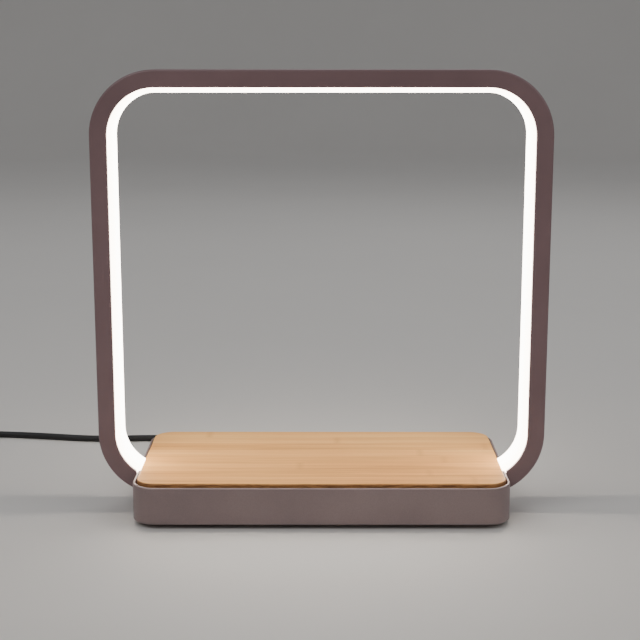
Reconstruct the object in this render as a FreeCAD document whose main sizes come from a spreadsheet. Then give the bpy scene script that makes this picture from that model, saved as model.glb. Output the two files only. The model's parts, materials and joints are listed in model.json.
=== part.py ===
import FreeCAD, Part
import math
import os
import re
import Sketcher
from FreeCAD import Rotation, Vector

doc = FreeCAD.newDocument("ChargingPad")
sheet = doc.addObject("Spreadsheet::Sheet", "Sizes")

# Driving dimensions in millimetres. The object's origin is under the middle of the base, on the
# surface that it stands on: X runs along the base, Y to its rear, Z up.
sizes = {
    # base casing
    "base_width": 170.0,
    "base_depth": 88.0,
    "base_corner": 11.0,
    "base_lift": 2.0,
    "rim_top": 19.1,
    "rim_width": 1.2,
    "rim_round": 0.8,
    "wall": 2.0,
    "deck_top": 15.8,
    "deck_thickness": 1.6,
    "deck_skin": 0.4,
    "cover_thickness": 2.0,
    "cover_gap": 0.2,
    "foot_radius": 6.0,
    "foot_recess": 0.5,
    "foot_inset": 15.0,
    "foot_gap": 0.2,
    "foot_round": 0.6,
    # bamboo top plate
    "plate_gap": 0.8,
    "plate_rise": 1.6,
    "plate_round": 0.6,
    "film_thickness": 0.3,
    "film_inset": 3.0,
    # lit ring
    "ring_reach": 17.1,
    "ring_top": 201.3,
    "ring_meet": 0.355,
    "ring_corner": 29.0,
    "ring_depth": 20.0,
    "ring_edge": 1.0,
    "ring_gap": 0.1,
    "band_width": 7.8,
    "outer_skin": 1.2,
    "chamber": 2.2,
    "web": 1.0,
    "ring_side": 1.6,
    "diffuser_seat": 1.6,
    "diffuser_rise": 2.15,
    "diffuser_gap": 0.2,
    "diffuser_round": 2.0,
    "diffuser_lift": 0.15,
    "strip_thickness": 0.3,
    "strip_width": 10.0,
    "strip_end": 5.2,
    "notch_width": 4.0,
    "notch_reach": 9.0,
    "chip_length": 3.5,
    "chip_width": 2.8,
    "chip_height": 0.8,
    "chip_solder": 0.08,
    "chip_pitch": 12.0,
    # ring brackets
    "strap_thickness": 2.0,
    "strap_width": 10.0,
    "strap_gap": 0.1,
    "strap_leg": 12.0,
    "strap_foot": 20.0,
    "strap_screw_edge": 5.0,
    "strap_screw_step": 10.0,
    "slot_gap": 0.5,
    "slot_margin": 1.5,
    "cut_margin": 1.0,
    # screws and their bosses
    "boss_radius": 3.4,
    "screw_radius": 1.4,
    "screw_gap": 0.1,
    "head_radius": 2.6,
    "head_height": 1.3,
    "boss_cap": 0.6,
    "cover_screw_length": 8.0,
    "strap_screw_reach": 2.6,
    "tray_screw_reach": 1.0,
    "post_wall": 0.6,
    "cover_screw_x": 52.0,
    "cover_screw_inset": 7.6,
    "small_screw_radius": 0.9,
    "small_head_radius": 1.8,
    "small_head_height": 1.0,
    # charging coil
    "coil_radius": 25.0,
    "coil_eye": 10.5,
    "coil_thickness": 1.2,
    "ferrite_radius": 26.0,
    "ferrite_thickness": 1.0,
    "window_radius": 29.0,
    "coil_gap": 0.1,
    "tray_thickness": 2.0,
    "tray_radius": 36.0,
    "tray_floor": 1.2,
    "tray_screw_radius": 32.5,
    "lead_radius": 0.6,
    "lead_inset": 1.34,
    "thermistor_length": 3.0,
    "thermistor_width": 2.0,
    "thermistor_height": 1.0,
    "led_lead_radius": 0.55,
    "lead_spacing": 4.0,
    # circuit board and what stands on it
    "board_width": 70.0,
    "board_depth": 36.0,
    "board_thickness": 1.4,
    "board_gap": 0.35,
    "board_corner": 1.5,
    "standoff": 1.2,
    "board_screw_inset": 3.0,
    "socket_width": 8.94,
    "socket_height": 3.26,
    "socket_length": 7.3,
    "socket_skin": 0.3,
    "socket_back": 0.6,
    "socket_recess": 0.4,
    "tongue_width": 6.7,
    "tongue_height": 0.7,
    "tongue_length": 4.4,
    "port_gap": 0.2,
    "end_flat": 0.1,
    "control_size": 6.0,
    "control_x": 14.0,
    "control_row": 12.0,
    "driver_size": 3.0,
    "driver_x": 22.0,
    "package_height": 0.9,
    "inductor_size": 7.0,
    "inductor_height": 3.2,
    "inductor_x": 16.0,
    "capacitor_width": 1.6,
    "capacitor_length": 3.2,
    "capacitor_pitch": 2.6,
    "capacitor_inset": 8.0,
    "connector_x": 31.0,
    "connector_width": 6.0,
    "connector_depth": 5.0,
    "connector_height": 3.6,
    "board_row": 21.0,
    "switch_x": 20.0,
    "switch_size": 6.0,
    "switch_height": 5.0,
    "switch_length": 3.6,
    "switch_bore": 2.4,
    "switch_set_back": 0.6,
    "plunger_radius": 1.6,
    "plunger_gap": 0.1,
    "button_radius": 3.5,
    "button_gap": 0.25,
    "button_flange": 0.9,
    "button_recess": 0.1,
    "button_round": 0.4,
    "button_travel": 0.5,
    # ballast plate
    "ballast_gap": 0.6,
    "ballast_inset": 3.0,
    "ballast_depth": 34.0,
    "ballast_thickness": 3.0,
    # cable and plugs
    "cable_radius": 1.7,
    "tip_width": 8.25,
    "tip_height": 2.4,
    "tip_length": 6.5,
    "tip_skin": 0.35,
    "tip_back": 1.5,
    "plug_width": 12.2,
    "plug_height": 6.4,
    "plug_length": 16.0,
    "plug_flat": 0.4,
    "plug_round": 0.7,
    "plug_stand": 0.3,
    "relief_length": 8.0,
    "relief_radius": 2.7,
    "relief_grip": 0.3,
    "hank_radius": 19.0,
    "hank_thickness": 5.3,
    "usb_width": 15.6,
    "usb_height": 7.6,
    "usb_length": 22.0,
    "usb_corner": 2.0,
    "usb_shell_width": 12.0,
    "usb_shell_height": 4.5,
    "usb_shell_length": 12.0,
    "usb_shell_corner": 0.6,
    "usb_shell_skin": 0.4,
    "usb_shell_back": 1.0,
}

for row, (alias, value) in enumerate(sizes.items(), start=1):
    sheet.set(f"A{row}", alias.replace("_", " "))
    sheet.set(f"B{row}", str(value))
    sheet.setAlias(f"B{row}", alias)
doc.recompute()

# Places worked out from the driving dimensions, as expressions.
halfWidth = "(base_width / 2)"
halfDepth = "(base_depth / 2)"
deckUnder = "(deck_top - deck_thickness)"
coverTop = "(base_lift + cover_thickness)"
plateBottom = "(deck_top + film_thickness)"
plateTop = "(rim_top + plate_rise)"
plateInset = "(rim_width + plate_gap)"
ringHalf = f"({halfWidth} + ring_reach)"
arcX = f"({ringHalf} - ring_corner)"
arcZ = f"(rim_top + ring_meet + sqrt((ring_corner - band_width)^2 - ({halfWidth} - {arcX})^2))"
ringBottom = f"({arcZ} - ring_corner)"
ringMiddle = f"((ring_top + {ringBottom}) / 2)"
webInset = "(outer_skin + chamber + web)"
strapInset = "(outer_skin + strap_gap)"
footTop = f"({ringBottom} + outer_skin + strap_gap + strap_thickness)"
footUnder = f"({ringBottom} + outer_skin + strap_gap)"
boardBottom = f"({coverTop} + standoff)"
boardTop = f"({boardBottom} + board_thickness)"
boardRear = f"({halfDepth} - wall - button_gap - button_flange - button_travel - board_gap)"
portHeight = f"({boardTop} + socket_height / 2)"
buttonHeight = f"({boardTop} + switch_height / 2)"
trayBottom = f"({deckUnder} - tray_thickness)"
trayFloorTop = f"({trayBottom} + tray_floor)"
coilBottom = f"({trayFloorTop} + ferrite_thickness)"
ringSpanY = "(-ring_depth / 2)"
strapScrewX = f"({arcX} - strap_screw_edge - strap_screw_step)"
screwY = f"({halfDepth} - cover_screw_inset)"
footX = f"({halfWidth} - foot_inset)"
footY = f"({halfDepth} - foot_inset)"
boardScrewX = "(board_width / 2 - board_screw_inset)"
boardScrewRear = f"({boardRear} - board_screw_inset)"
boardScrewFront = f"({boardRear} - board_depth + board_screw_inset)"
socketRound = "(socket_height / 2 - end_flat)"
tipRound = "((tip_height - end_flat) / 2)"
traySteps = (150, 270, 390)
tolerance = 0.01
arcShare = 0.45


def cells(text):
    """Point each size named in an expression at its cell."""
    return re.sub(r"[a-z]\w+", lambda m: "Sizes." + m.group() if m.group() in sizes else m.group(), text)


def number(text):
    return float(sheet.evalExpression(cells(text)))


def bind(item, expressions):
    for path, text in expressions.items():
        item.setExpression(path, cells(text))


def place(item, x, y, z):
    bind(item, {"Placement.Base.x": x, "Placement.Base.y": y, "Placement.Base.z": z})


# Sketch outlines

def fixPoint(sketch, geometry, position, x, y):
    """Hold a point at its distances from the sketch's origin."""
    for kind, text in (("DistanceX", x), ("DistanceY", y)):
        value = number(text)
        if value < 0:
            index = sketch.addConstraint(Sketcher.Constraint(kind, geometry, position, -1, 1, -value))
            text = f"-({text})"
        else:
            index = sketch.addConstraint(Sketcher.Constraint(kind, -1, 1, geometry, position, value))
        sketch.setExpression(f"Constraints[{index}]", cells(text))


def drawCircle(sketch, x, y, radius):
    centre = Vector(number(x), number(y), 0)
    index = sketch.addGeometry(Part.Circle(centre, Vector(0, 0, 1), number(radius)), False)
    constraint = sketch.addConstraint(Sketcher.Constraint("Radius", index, number(radius)))
    sketch.setExpression(f"Constraints[{constraint}]", cells(radius))
    fixPoint(sketch, index, 3, x, y)


def drawRectangle(sketch, left, right, low, high):
    x0, x1, y0, y1 = number(left), number(right), number(low), number(high)
    corners = [Vector(x0, y0, 0), Vector(x1, y0, 0), Vector(x1, y1, 0), Vector(x0, y1, 0)]
    lines = [sketch.addGeometry(Part.LineSegment(corners[i], corners[(i + 1) % 4]), False) for i in range(4)]
    for i in range(4):
        sketch.addConstraint(Sketcher.Constraint("Coincident", lines[i], 2, lines[(i + 1) % 4], 1))
        sketch.addConstraint(Sketcher.Constraint("Vertical" if i % 2 else "Horizontal", lines[i]))
    fixPoint(sketch, lines[0], 1, left, low)
    fixPoint(sketch, lines[2], 1, right, high)


def drawRounded(sketch, width, height, radius, x="0", y="0"):
    """Rectangle with rounded corners, by its size and its middle."""
    w, h, r = number(width) / 2, number(height) / 2, number(radius)
    middle = Vector(number(x), number(y), 0)
    starts = [Vector(r - w, -h, 0), Vector(w, r - h, 0), Vector(w - r, h, 0), Vector(-w, h - r, 0)]
    ends = [Vector(w - r, -h, 0), Vector(w, h - r, 0), Vector(r - w, h, 0), Vector(-w, r - h, 0)]
    cx, cy = w - r, h - r
    turns = [Vector(cx, -cy, 0), Vector(cx, cy, 0), Vector(-cx, cy, 0), Vector(-cx, -cy, 0)]
    lines = []
    arcs = []
    for i in range(4):
        lines.append(sketch.addGeometry(Part.LineSegment(middle + starts[i], middle + ends[i]), False))
    for i in range(4):
        circle = Part.Circle(middle + turns[i], Vector(0, 0, 1), r)
        first = (i - 1) * math.pi / 2
        arcs.append(sketch.addGeometry(Part.ArcOfCircle(circle, first, first + math.pi / 2), False))
    for i in range(4):
        sketch.addConstraint(Sketcher.Constraint("Tangent", lines[i], 2, arcs[i], 1))
        sketch.addConstraint(Sketcher.Constraint("Tangent", arcs[i], 2, lines[(i + 1) % 4], 1))
        sketch.addConstraint(Sketcher.Constraint("Vertical" if i % 2 else "Horizontal", lines[i]))
        if i:
            sketch.addConstraint(Sketcher.Constraint("Equal", arcs[0], arcs[i]))
    index = sketch.addConstraint(Sketcher.Constraint("Radius", arcs[0], r))
    sketch.setExpression(f"Constraints[{index}]", cells(radius))
    fixPoint(sketch, lines[1], 1, f"{x} + ({width}) / 2", f"{y} - ({height}) / 2 + ({radius})")
    fixPoint(sketch, lines[3], 1, f"{x} - ({width}) / 2", f"{y} + ({height}) / 2 - ({radius})")


def drawFour(sketch, x, front, rear, radius):
    """Four equal circles, one to each side at the front and at the rear."""
    for side in (x, f"-{x}"):
        for y in (rear, front):
            drawCircle(sketch, side, y, radius)


def drawBase(sketch, inset):
    drawRounded(sketch, f"base_width - 2 * ({inset})", f"base_depth - 2 * ({inset})",
                f"base_corner - ({inset})")


def drawRing(sketch, inset):
    width = f"2 * {ringHalf} - 2 * ({inset})"
    height = f"ring_top - {ringBottom} - 2 * ({inset})"
    drawRounded(sketch, width, height, f"ring_corner - ({inset})", "0", ringMiddle)


# Features of a body. A sketch lies start along its plane's normal, and the feature runs on from it:
# +Z from XY_Plane, -Y from XZ_Plane and +X from YZ_Plane.

def newBody(name):
    body = doc.addObject("PartDesign::Body", name)
    body.Label = name
    return body


def addFeature(body, kind, plane, start, length, draw):
    before = body.Shape.Volume if body.Tip else 0.0
    sketch = body.newObject("Sketcher::SketchObject", f"{body.Name}_sketch")
    sketch.AttachmentSupport = [(next(f for f in body.Origin.OriginFeatures if f.Role == plane), "")]
    sketch.MapMode = "FlatFace"
    bind(sketch, {"AttachmentOffset.Base.z": start})
    draw(sketch)
    feature = body.newObject(f"PartDesign::{kind}", f"{body.Name}_{kind.lower()}")
    feature.Profile = sketch
    feature.Reversed = kind == "Pocket"
    bind(feature, {"Length": length})
    doc.recompute()
    change = body.Shape.Volume - before
    if abs(change) < tolerance or (change > 0) != (kind == "Pad"):
        raise RuntimeError(f"{feature.Name} changed the volume by {change:.3f}")
    return feature


def addPad(body, plane, start, length, draw):
    return addFeature(body, "Pad", plane, start, length, draw)


def addPocket(body, plane, start, length, draw):
    return addFeature(body, "Pocket", plane, start, length, draw)


def addEdges(body, kind, size, test):
    """Fillet or chamfer the edges whose middle and direction pass the test."""
    base = body.Tip
    names = []
    for index, edge in enumerate(base.Shape.Edges, start=1):
        middle = edge.valueAt((edge.FirstParameter + edge.LastParameter) / 2)
        if test(middle, edge):
            names.append(f"Edge{index}")
    feature = body.newObject(f"PartDesign::{kind}", f"{body.Name}_{kind.lower()}")
    feature.Base = (base, names)
    bind(feature, {"Radius" if kind == "Fillet" else "Size": size})
    doc.recompute()
    return feature


def atHeight(z):
    height = number(z)
    return lambda middle, edge: abs(middle.z - height) < tolerance and abs(edge.BoundBox.ZLength) < tolerance


# Primitives

def block(name, width, depth, height, x, y, z):
    """Box centred on x and y, standing on z."""
    item = doc.addObject("Part::Box", name)
    item.Label = name
    bind(item, {"Length": width, "Width": depth, "Height": height})
    place(item, f"{x} - ({width}) / 2", f"{y} - ({depth}) / 2", z)
    return item


def disc(name, radius, height, x, y, z):
    item = doc.addObject("Part::Cylinder", name)
    item.Label = name
    bind(item, {"Radius": radius, "Height": height})
    place(item, x, y, z)
    return item


def cone(name, lowRadius, highRadius, height, x, y, z):
    item = doc.addObject("Part::Cone", name)
    item.Label = name
    bind(item, {"Radius1": lowRadius, "Radius2": highRadius, "Height": height})
    place(item, x, y, z)
    return item


def combine(kind, name, pieces):
    """Fuse pieces into one solid, or keep them apart in one compound."""
    item = doc.addObject(f"Part::{kind}", name)
    item.Label = name
    if kind == "Compound":
        item.Links = pieces
    else:
        item.Shapes = pieces
    return item


def cutAway(name, base, tool):
    item = doc.addObject("Part::Cut", name)
    item.Label = name
    item.Base = base
    item.Tool = tool
    return item


def wholeFeature(name, shape):
    item = doc.addObject("Part::Feature", name)
    item.Label = name
    item.Shape = shape
    return item


def bentPath(points, radii=None):
    """Straight runs joined by tangent arcs, each as large as its two runs allow."""
    edges = []
    last = points[0]
    for before, point, after in zip(points, points[1:], points[2:]):
        inward = (point - before).normalize()
        outward = (after - point).normalize()
        halfTurn = inward.getAngle(outward) / 2
        reach = arcShare * min((point - before).Length, (after - point).Length)
        radius = reach / math.tan(halfTurn)
        if radii is not None:
            radii.append(radius)
        first = point - inward * reach
        final = point + outward * reach
        toCentre = (outward - inward).normalize()
        centre = point + toCentre * (radius / math.cos(halfTurn))
        edges.append(Part.LineSegment(last, first).toShape())
        edges.append(Part.Arc(first, centre - toCentre * radius, final).toShape())
        last = final
    edges.append(Part.LineSegment(last, points[-1]).toShape())
    return Part.Wire(edges)


def tubeAlong(points, radius, radii=None):
    """Round solid along a bent path, its volume held against its section times its length."""
    path = bentPath(points, radii)
    section = Part.Wire(Part.Circle(points[0], points[1] - points[0], radius).toShape())
    shape = path.makePipeShell([section], True, False)
    expected = math.pi * radius ** 2 * path.Length
    if abs(shape.Volume / expected - 1) > tolerance:
        raise RuntimeError(f"tube volume {shape.Volume:.2f}, expected {expected:.2f}")
    return shape, path.Length


# Base

def makeBaseShell():
    body = newBody("base_shell")
    addPad(body, "XY_Plane", "base_lift", "rim_top - base_lift", lambda s: drawBase(s, "0"))
    addPocket(body, "XY_Plane", "deck_top", "rim_top - deck_top", lambda s: drawBase(s, "rim_width"))
    addPocket(body, "XY_Plane", "base_lift", f"{deckUnder} - base_lift", lambda s: drawBase(s, "wall"))
    outer = number(halfWidth)
    outerY = number(halfDepth)

    def isOuter(middle, edge):
        onSide = abs(abs(middle.x) - outer) < tolerance or abs(abs(middle.y) - outerY) < tolerance
        corner = math.hypot(abs(middle.x) - outer + number("base_corner"),
                            abs(middle.y) - outerY + number("base_corner"))
        return onSide or abs(corner - number("base_corner")) < tolerance

    top = atHeight("rim_top")
    low = atHeight("base_lift")
    addEdges(body, "Fillet", "rim_round", lambda m, e: isOuter(m, e) and (top(m, e) or low(m, e)))

    def drawCoverCircles(sketch, radius):
        drawFour(sketch, "cover_screw_x", f"-{screwY}", screwY, radius)

    def drawStrapCircles(sketch, radius):
        for side in ("", "-"):
            for step in ("0", "strap_screw_step"):
                drawCircle(sketch, f"{side}({strapScrewX} + {step})", ringSpanY, radius)

    addPad(body, "XY_Plane", coverTop, f"{deckUnder} - {coverTop}",
           lambda s: drawCoverCircles(s, "boss_radius"))
    addPocket(body, "XY_Plane", coverTop, f"{deckUnder} - {coverTop} - boss_cap",
              lambda s: drawCoverCircles(s, "screw_radius + screw_gap"))
    addPad(body, "XY_Plane", footTop, f"{deckUnder} - {footTop}",
           lambda s: drawStrapCircles(s, "boss_radius"))
    addPocket(body, "XY_Plane", footTop, f"{deckUnder} - {footTop}",
              lambda s: drawStrapCircles(s, "screw_radius + screw_gap"))
    addPocket(body, "XY_Plane", deckUnder, "deck_thickness",
              lambda s: drawCircle(s, "0", "0", "window_radius"))
    addPocket(body, "XY_Plane", deckUnder, "deck_thickness - deck_skin", drawTrayHoles)
    for start in (f"{halfWidth} - wall", f"-{halfWidth}"):
        addPocket(body, "YZ_Plane", start, "wall", drawStrapSlot)
    addPocket(body, "XZ_Plane", f"-{halfDepth}", "wall",
              lambda s: drawRounded(s, "socket_width + 2 * port_gap", "socket_height + 2 * port_gap",
                                    f"{socketRound} + port_gap", "0", portHeight))
    addPocket(body, "XZ_Plane", f"-{halfDepth}", "wall",
              lambda s: drawCircle(s, "switch_x", buttonHeight, "button_radius + button_gap"))
    return body


def drawTrayHoles(sketch):
    for turn in traySteps:
        drawCircle(sketch, f"tray_screw_radius * cos({turn} deg)", f"tray_screw_radius * sin({turn} deg)",
                   "small_screw_radius + screw_gap")


def drawStrapSlot(sketch):
    """Way through the side wall for a bracket's strap and the leads beside it."""
    wallRun = f"({halfWidth} - {arcX})"
    innerRun = f"({wallRun} - wall)"
    low = f"{arcZ} - sqrt((ring_corner - {strapInset})^2 - {innerRun}^2) - slot_gap"
    high = f"{arcZ} - sqrt((ring_corner - {strapInset} - strap_thickness)^2 - {wallRun}^2) + slot_gap"
    drawRectangle(sketch, "ring_side + slot_margin - ring_depth", "-ring_side - slot_gap", low, high)


def makeBottomCover():
    body = newBody("bottom_cover")
    addPad(body, "XY_Plane", "base_lift", "cover_thickness", lambda s: drawBase(s, "wall + cover_gap"))

    def drawScrews(sketch, radius):
        drawFour(sketch, "cover_screw_x", f"-{screwY}", screwY, radius)

    def drawStandoffs(sketch, radius):
        drawFour(sketch, boardScrewX, boardScrewFront, boardScrewRear, radius)

    addPocket(body, "XY_Plane", "base_lift", "foot_recess",
              lambda s: drawFour(s, footX, f"-{footY}", footY, "foot_radius + foot_gap"))
    addPocket(body, "XY_Plane", "base_lift", "cover_thickness",
              lambda s: drawScrews(s, "screw_radius + screw_gap"))
    addPocket(body, "XY_Plane", "base_lift", "head_height",
              lambda s: drawScrews(s, "head_radius + screw_gap"))
    addPad(body, "XY_Plane", coverTop, "standoff",
           lambda s: drawStandoffs(s, "small_head_radius + post_wall"))
    addPocket(body, "XY_Plane", "base_lift + cover_thickness / 2", "cover_thickness / 2 + standoff",
              lambda s: drawStandoffs(s, "small_screw_radius + screw_gap"))
    return body


def makeRubberFeet():
    feet = []
    for index, (sideX, sideY) in enumerate(((1, 1), (-1, 1), (-1, -1), (1, -1))):
        foot = disc(f"foot_{index}", "foot_radius", "base_lift + foot_recess",
                    f"{sideX} * {footX}", f"{sideY} * {footY}", "0")
        doc.recompute()
        rounded = doc.addObject("Part::Fillet", f"foot_rounded_{index}")
        rounded.Base = foot
        rim = number("foot_round")
        low = atHeight("0")
        edges = enumerate(foot.Shape.Edges, start=1)
        rounded.Edges = [(i, rim, rim) for i, edge in edges if low(edge.valueAt(0), edge)]
        feet.append(rounded)
    return combine("Compound", "rubber_feet", feet)


def makeScrews(name, places, headZ, length, up=True,
               head="head_radius", rise="head_height", shank="screw_radius"):
    """Identical screws, heads at headZ and shanks running up, or down, from them."""
    screws = []
    for index, (x, y) in enumerate(places):
        cap = disc(f"{name}_head_{index}", head, rise, x, y, headZ)
        start = f"{headZ} + ({rise})" if up else f"{headZ} - ({length})"
        pin = disc(f"{name}_shank_{index}", shank, length, x, y, start)
        screws.append(combine("MultiFuse", f"{name}_{index}", [cap, pin]))
    return combine("Compound", name, screws)


def fourPlaces(x, frontY, rearY):
    return [(x, rearY), (f"-({x})", rearY), (f"-({x})", frontY), (x, frontY)]


def makeBambooPlate():
    body = newBody("bamboo_plate")
    addPad(body, "XY_Plane", plateBottom, f"{plateTop} - {plateBottom}", lambda s: drawBase(s, plateInset))
    addEdges(body, "Fillet", "plate_round", atHeight(plateTop))
    return body


def makeFilm():
    body = newBody("adhesive_film")
    addPad(body, "XY_Plane", "deck_top", "film_thickness",
           lambda s: drawBase(s, f"{plateInset} + film_inset"))
    return body


# Charging coil

def makeCoil():
    outer = disc("coil_outer", "coil_radius", "coil_thickness", "0", "0", coilBottom)
    eye = disc("coil_eye_cut", "coil_eye", "coil_thickness", "0", "0", coilBottom)
    return cutAway("charging_coil", outer, eye)


def makeTray():
    body = newBody("coil_tray")
    addPad(body, "XY_Plane", trayBottom, "tray_thickness", lambda s: drawCircle(s, "0", "0", "tray_radius"))
    addPocket(body, "XY_Plane", trayFloorTop, "tray_thickness - tray_floor",
              lambda s: drawCircle(s, "0", "0", "ferrite_radius + 2 * coil_gap"))
    addPocket(body, "XY_Plane", trayBottom, "tray_thickness", drawTrayHoles)
    addPocket(body, "XY_Plane", trayBottom, "tray_thickness",
              lambda s: drawRectangle(s, "-lead_spacing", "lead_spacing",
                                      "ferrite_radius + 4 * coil_gap", "tray_radius + cut_margin"))
    return body


def makeCoilLeads():
    radius = number("lead_radius")
    reach = number("window_radius - lead_inset")
    high = number(f"{coilBottom} + coil_thickness / 2")
    leads = []
    for x in (-number("lead_spacing") / 2, number("lead_spacing") / 2):
        start = Vector(x, number("coil_radius + 2 * coil_gap"), high)
        points = [start, Vector(x, reach, high), Vector(x, reach, number(boardTop))]
        leads.append(tubeAlong(points, radius)[0])
    return wholeFeature("coil_leads", Part.makeCompound(leads))


# Circuit board

def makeBoard():
    body = newBody("main_board")
    middle = f"{boardRear} - board_depth / 2"
    addPad(body, "XY_Plane", boardBottom, "board_thickness",
           lambda s: drawRounded(s, "board_width", "board_depth", "board_corner", "0", middle))
    addPocket(body, "XY_Plane", boardBottom, "board_thickness",
              lambda s: drawFour(s, boardScrewX, boardScrewFront, boardScrewRear,
                                 "small_screw_radius + screw_gap"))
    return body


def makeCapacitors():
    pieces = []
    for index, step in enumerate((-2.5, -1.5, -0.5, 0.5, 1.5, 2.5)):
        pieces.append(block(f"capacitor_{index}", "capacitor_width", "capacitor_length", "capacitor_width",
                            f"{step} * capacitor_pitch", "window_radius - capacitor_inset", boardTop))
    return combine("Compound", "resonance_capacitors", pieces)


def makeSocket():
    body = newBody("usb_c_socket")
    front = f"{halfDepth} - socket_recess"
    addPad(body, "XZ_Plane", f"-({front})", "socket_length",
           lambda s: drawRounded(s, "socket_width", "socket_height", socketRound, "0", portHeight))
    addPocket(body, "XZ_Plane", f"-({front})", "socket_length - socket_back",
              lambda s: drawRounded(s, "socket_width - 2 * socket_skin", "socket_height - 2 * socket_skin",
                                    f"{socketRound} - socket_skin", "0", portHeight))
    addPad(body, "XZ_Plane", f"socket_length - socket_back - tongue_length - ({front})",
           "tongue_length + socket_back / 2",
           lambda s: drawRectangle(s, "-tongue_width / 2", "tongue_width / 2",
                                   f"{portHeight} - tongue_height / 2", f"{portHeight} + tongue_height / 2"))
    return body


def makeSwitch():
    body = newBody("tact_switch")
    front = f"({boardRear} - switch_set_back)"
    addPad(body, "XZ_Plane", f"-{front}", "switch_length",
           lambda s: drawRectangle(s, "switch_x - switch_size / 2", "switch_x + switch_size / 2",
                                   boardTop, f"{boardTop} + switch_height"))
    addPocket(body, "XZ_Plane", f"-{front}", "switch_bore",
              lambda s: drawCircle(s, "switch_x", buttonHeight, "plunger_radius + plunger_gap"))
    return body


def makePlunger():
    body = newBody("switch_plunger")
    front = f"({halfDepth} - wall - button_gap - button_flange)"
    inside = f"({boardRear} - switch_set_back - switch_bore + button_travel + button_gap)"
    addPad(body, "XZ_Plane", f"-{front}", f"{front} - {inside}",
           lambda s: drawCircle(s, "switch_x", buttonHeight, "plunger_radius"))
    return body


def makeButton():
    body = newBody("power_button")
    front = f"({halfDepth} - button_recess)"
    back = f"({halfDepth} - wall - button_gap)"
    addPad(body, "XZ_Plane", f"-{front}", f"{front} - {back}",
           lambda s: drawCircle(s, "switch_x", buttonHeight, "button_radius"))
    addPad(body, "XZ_Plane", f"-{back}", "button_flange",
           lambda s: drawCircle(s, "switch_x", buttonHeight, "button_radius + button_flange"))
    face = number(front)

    def isFaceEdge(middle, edge):
        return abs(middle.y - face) < tolerance and edge.BoundBox.YLength < tolerance

    addEdges(body, "Fillet", "button_round", isFaceEdge)
    return body


# Lit ring

def cutRingFoot(body, side, height):
    """Take away the part of the ring's outline that lies within the base."""
    addPocket(body, "XZ_Plane", "-cut_margin", "ring_depth + 2 * cut_margin",
              lambda s: drawRectangle(s, f"-({side})", side, "0", height))


def makeChannel():
    body = newBody("ring_channel")

    def drawBand(sketch, outer, inner):
        drawRing(sketch, outer)
        drawRing(sketch, inner)

    addPad(body, "XZ_Plane", "0", "ring_depth", lambda s: drawBand(s, "0", "band_width"))
    cutRingFoot(body, f"{halfWidth} + ring_gap", f"{arcZ}")
    faces = (0.0, -number("ring_depth"))
    arc = Vector(number(arcX), 0, number(arcZ))
    outer = number(ringHalf)
    corner = number("ring_corner")

    def isOuterEdge(middle, edge):
        if edge.BoundBox.YLength > tolerance or min(abs(middle.y - y) for y in faces) > tolerance:
            return False
        straight = abs(abs(middle.x) - outer) < tolerance or abs(middle.z - number("ring_top")) < tolerance
        x = abs(middle.x) - arc.x
        low = abs(math.hypot(x, middle.z - arc.z) - corner) < tolerance
        high = abs(math.hypot(x, middle.z - number("ring_top") + corner) - corner) < tolerance
        return straight or low or high

    addEdges(body, "Fillet", "ring_edge", isOuterEdge)
    addPocket(body, "XZ_Plane", "ring_side", "ring_depth - 2 * ring_side",
              lambda s: drawBand(s, "outer_skin", "outer_skin + chamber"))
    addPocket(body, "XZ_Plane", "ring_side", "ring_depth - 2 * ring_side", lambda s: drawRing(s, webInset))
    addPocket(body, "XZ_Plane", "ring_side", "notch_width",
              lambda s: drawRectangle(s, f"-({halfWidth} + notch_reach)", f"-{halfWidth}",
                                      f"{ringBottom} + outer_skin", f"{arcZ} - ring_corner / 2"))
    return body


def makeDiffuser():
    body = newBody("ring_diffuser")

    def drawSection(sketch):
        drawRing(sketch, "band_width - diffuser_seat")
        drawRing(sketch, "band_width + diffuser_rise")

    side = "(ring_side + diffuser_gap)"
    addPad(body, "XZ_Plane", side, f"ring_depth - 2 * {side}", drawSection)
    inner = number(f"{ringHalf} - band_width - diffuser_rise")
    top = number("ring_top - band_width - diffuser_rise")
    bottom = number(f"{ringBottom} + band_width + diffuser_rise")
    corner = number("ring_corner - band_width - diffuser_rise")

    def isInnerEdge(middle, edge):
        if edge.BoundBox.YLength > tolerance:
            return False
        straight = (abs(abs(middle.x) - inner) < tolerance or abs(middle.z - top) < tolerance
                    or abs(middle.z - bottom) < tolerance)
        x = abs(middle.x) - inner + corner
        low = abs(math.hypot(x, middle.z - bottom - corner) - corner) < tolerance
        high = abs(math.hypot(x, middle.z - top + corner) - corner) < tolerance
        return straight or low or high

    addEdges(body, "Fillet", "diffuser_round", isInnerEdge)
    cutRingFoot(body, f"{halfWidth} + ring_gap", "rim_top + diffuser_lift")
    cutRingFoot(body, f"{halfWidth} - {plateInset} + ring_gap", f"{plateTop} + diffuser_lift")
    return body


def makeStrip():
    body = newBody("led_strip")

    def drawSection(sketch):
        drawRing(sketch, webInset)
        drawRing(sketch, f"{webInset} + strip_thickness")

    addPad(body, "XZ_Plane", "(ring_depth - strip_width) / 2", "strip_width", drawSection)
    cutRingFoot(body, f"{halfWidth} + strip_end", f"{arcZ}")
    return body


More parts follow.
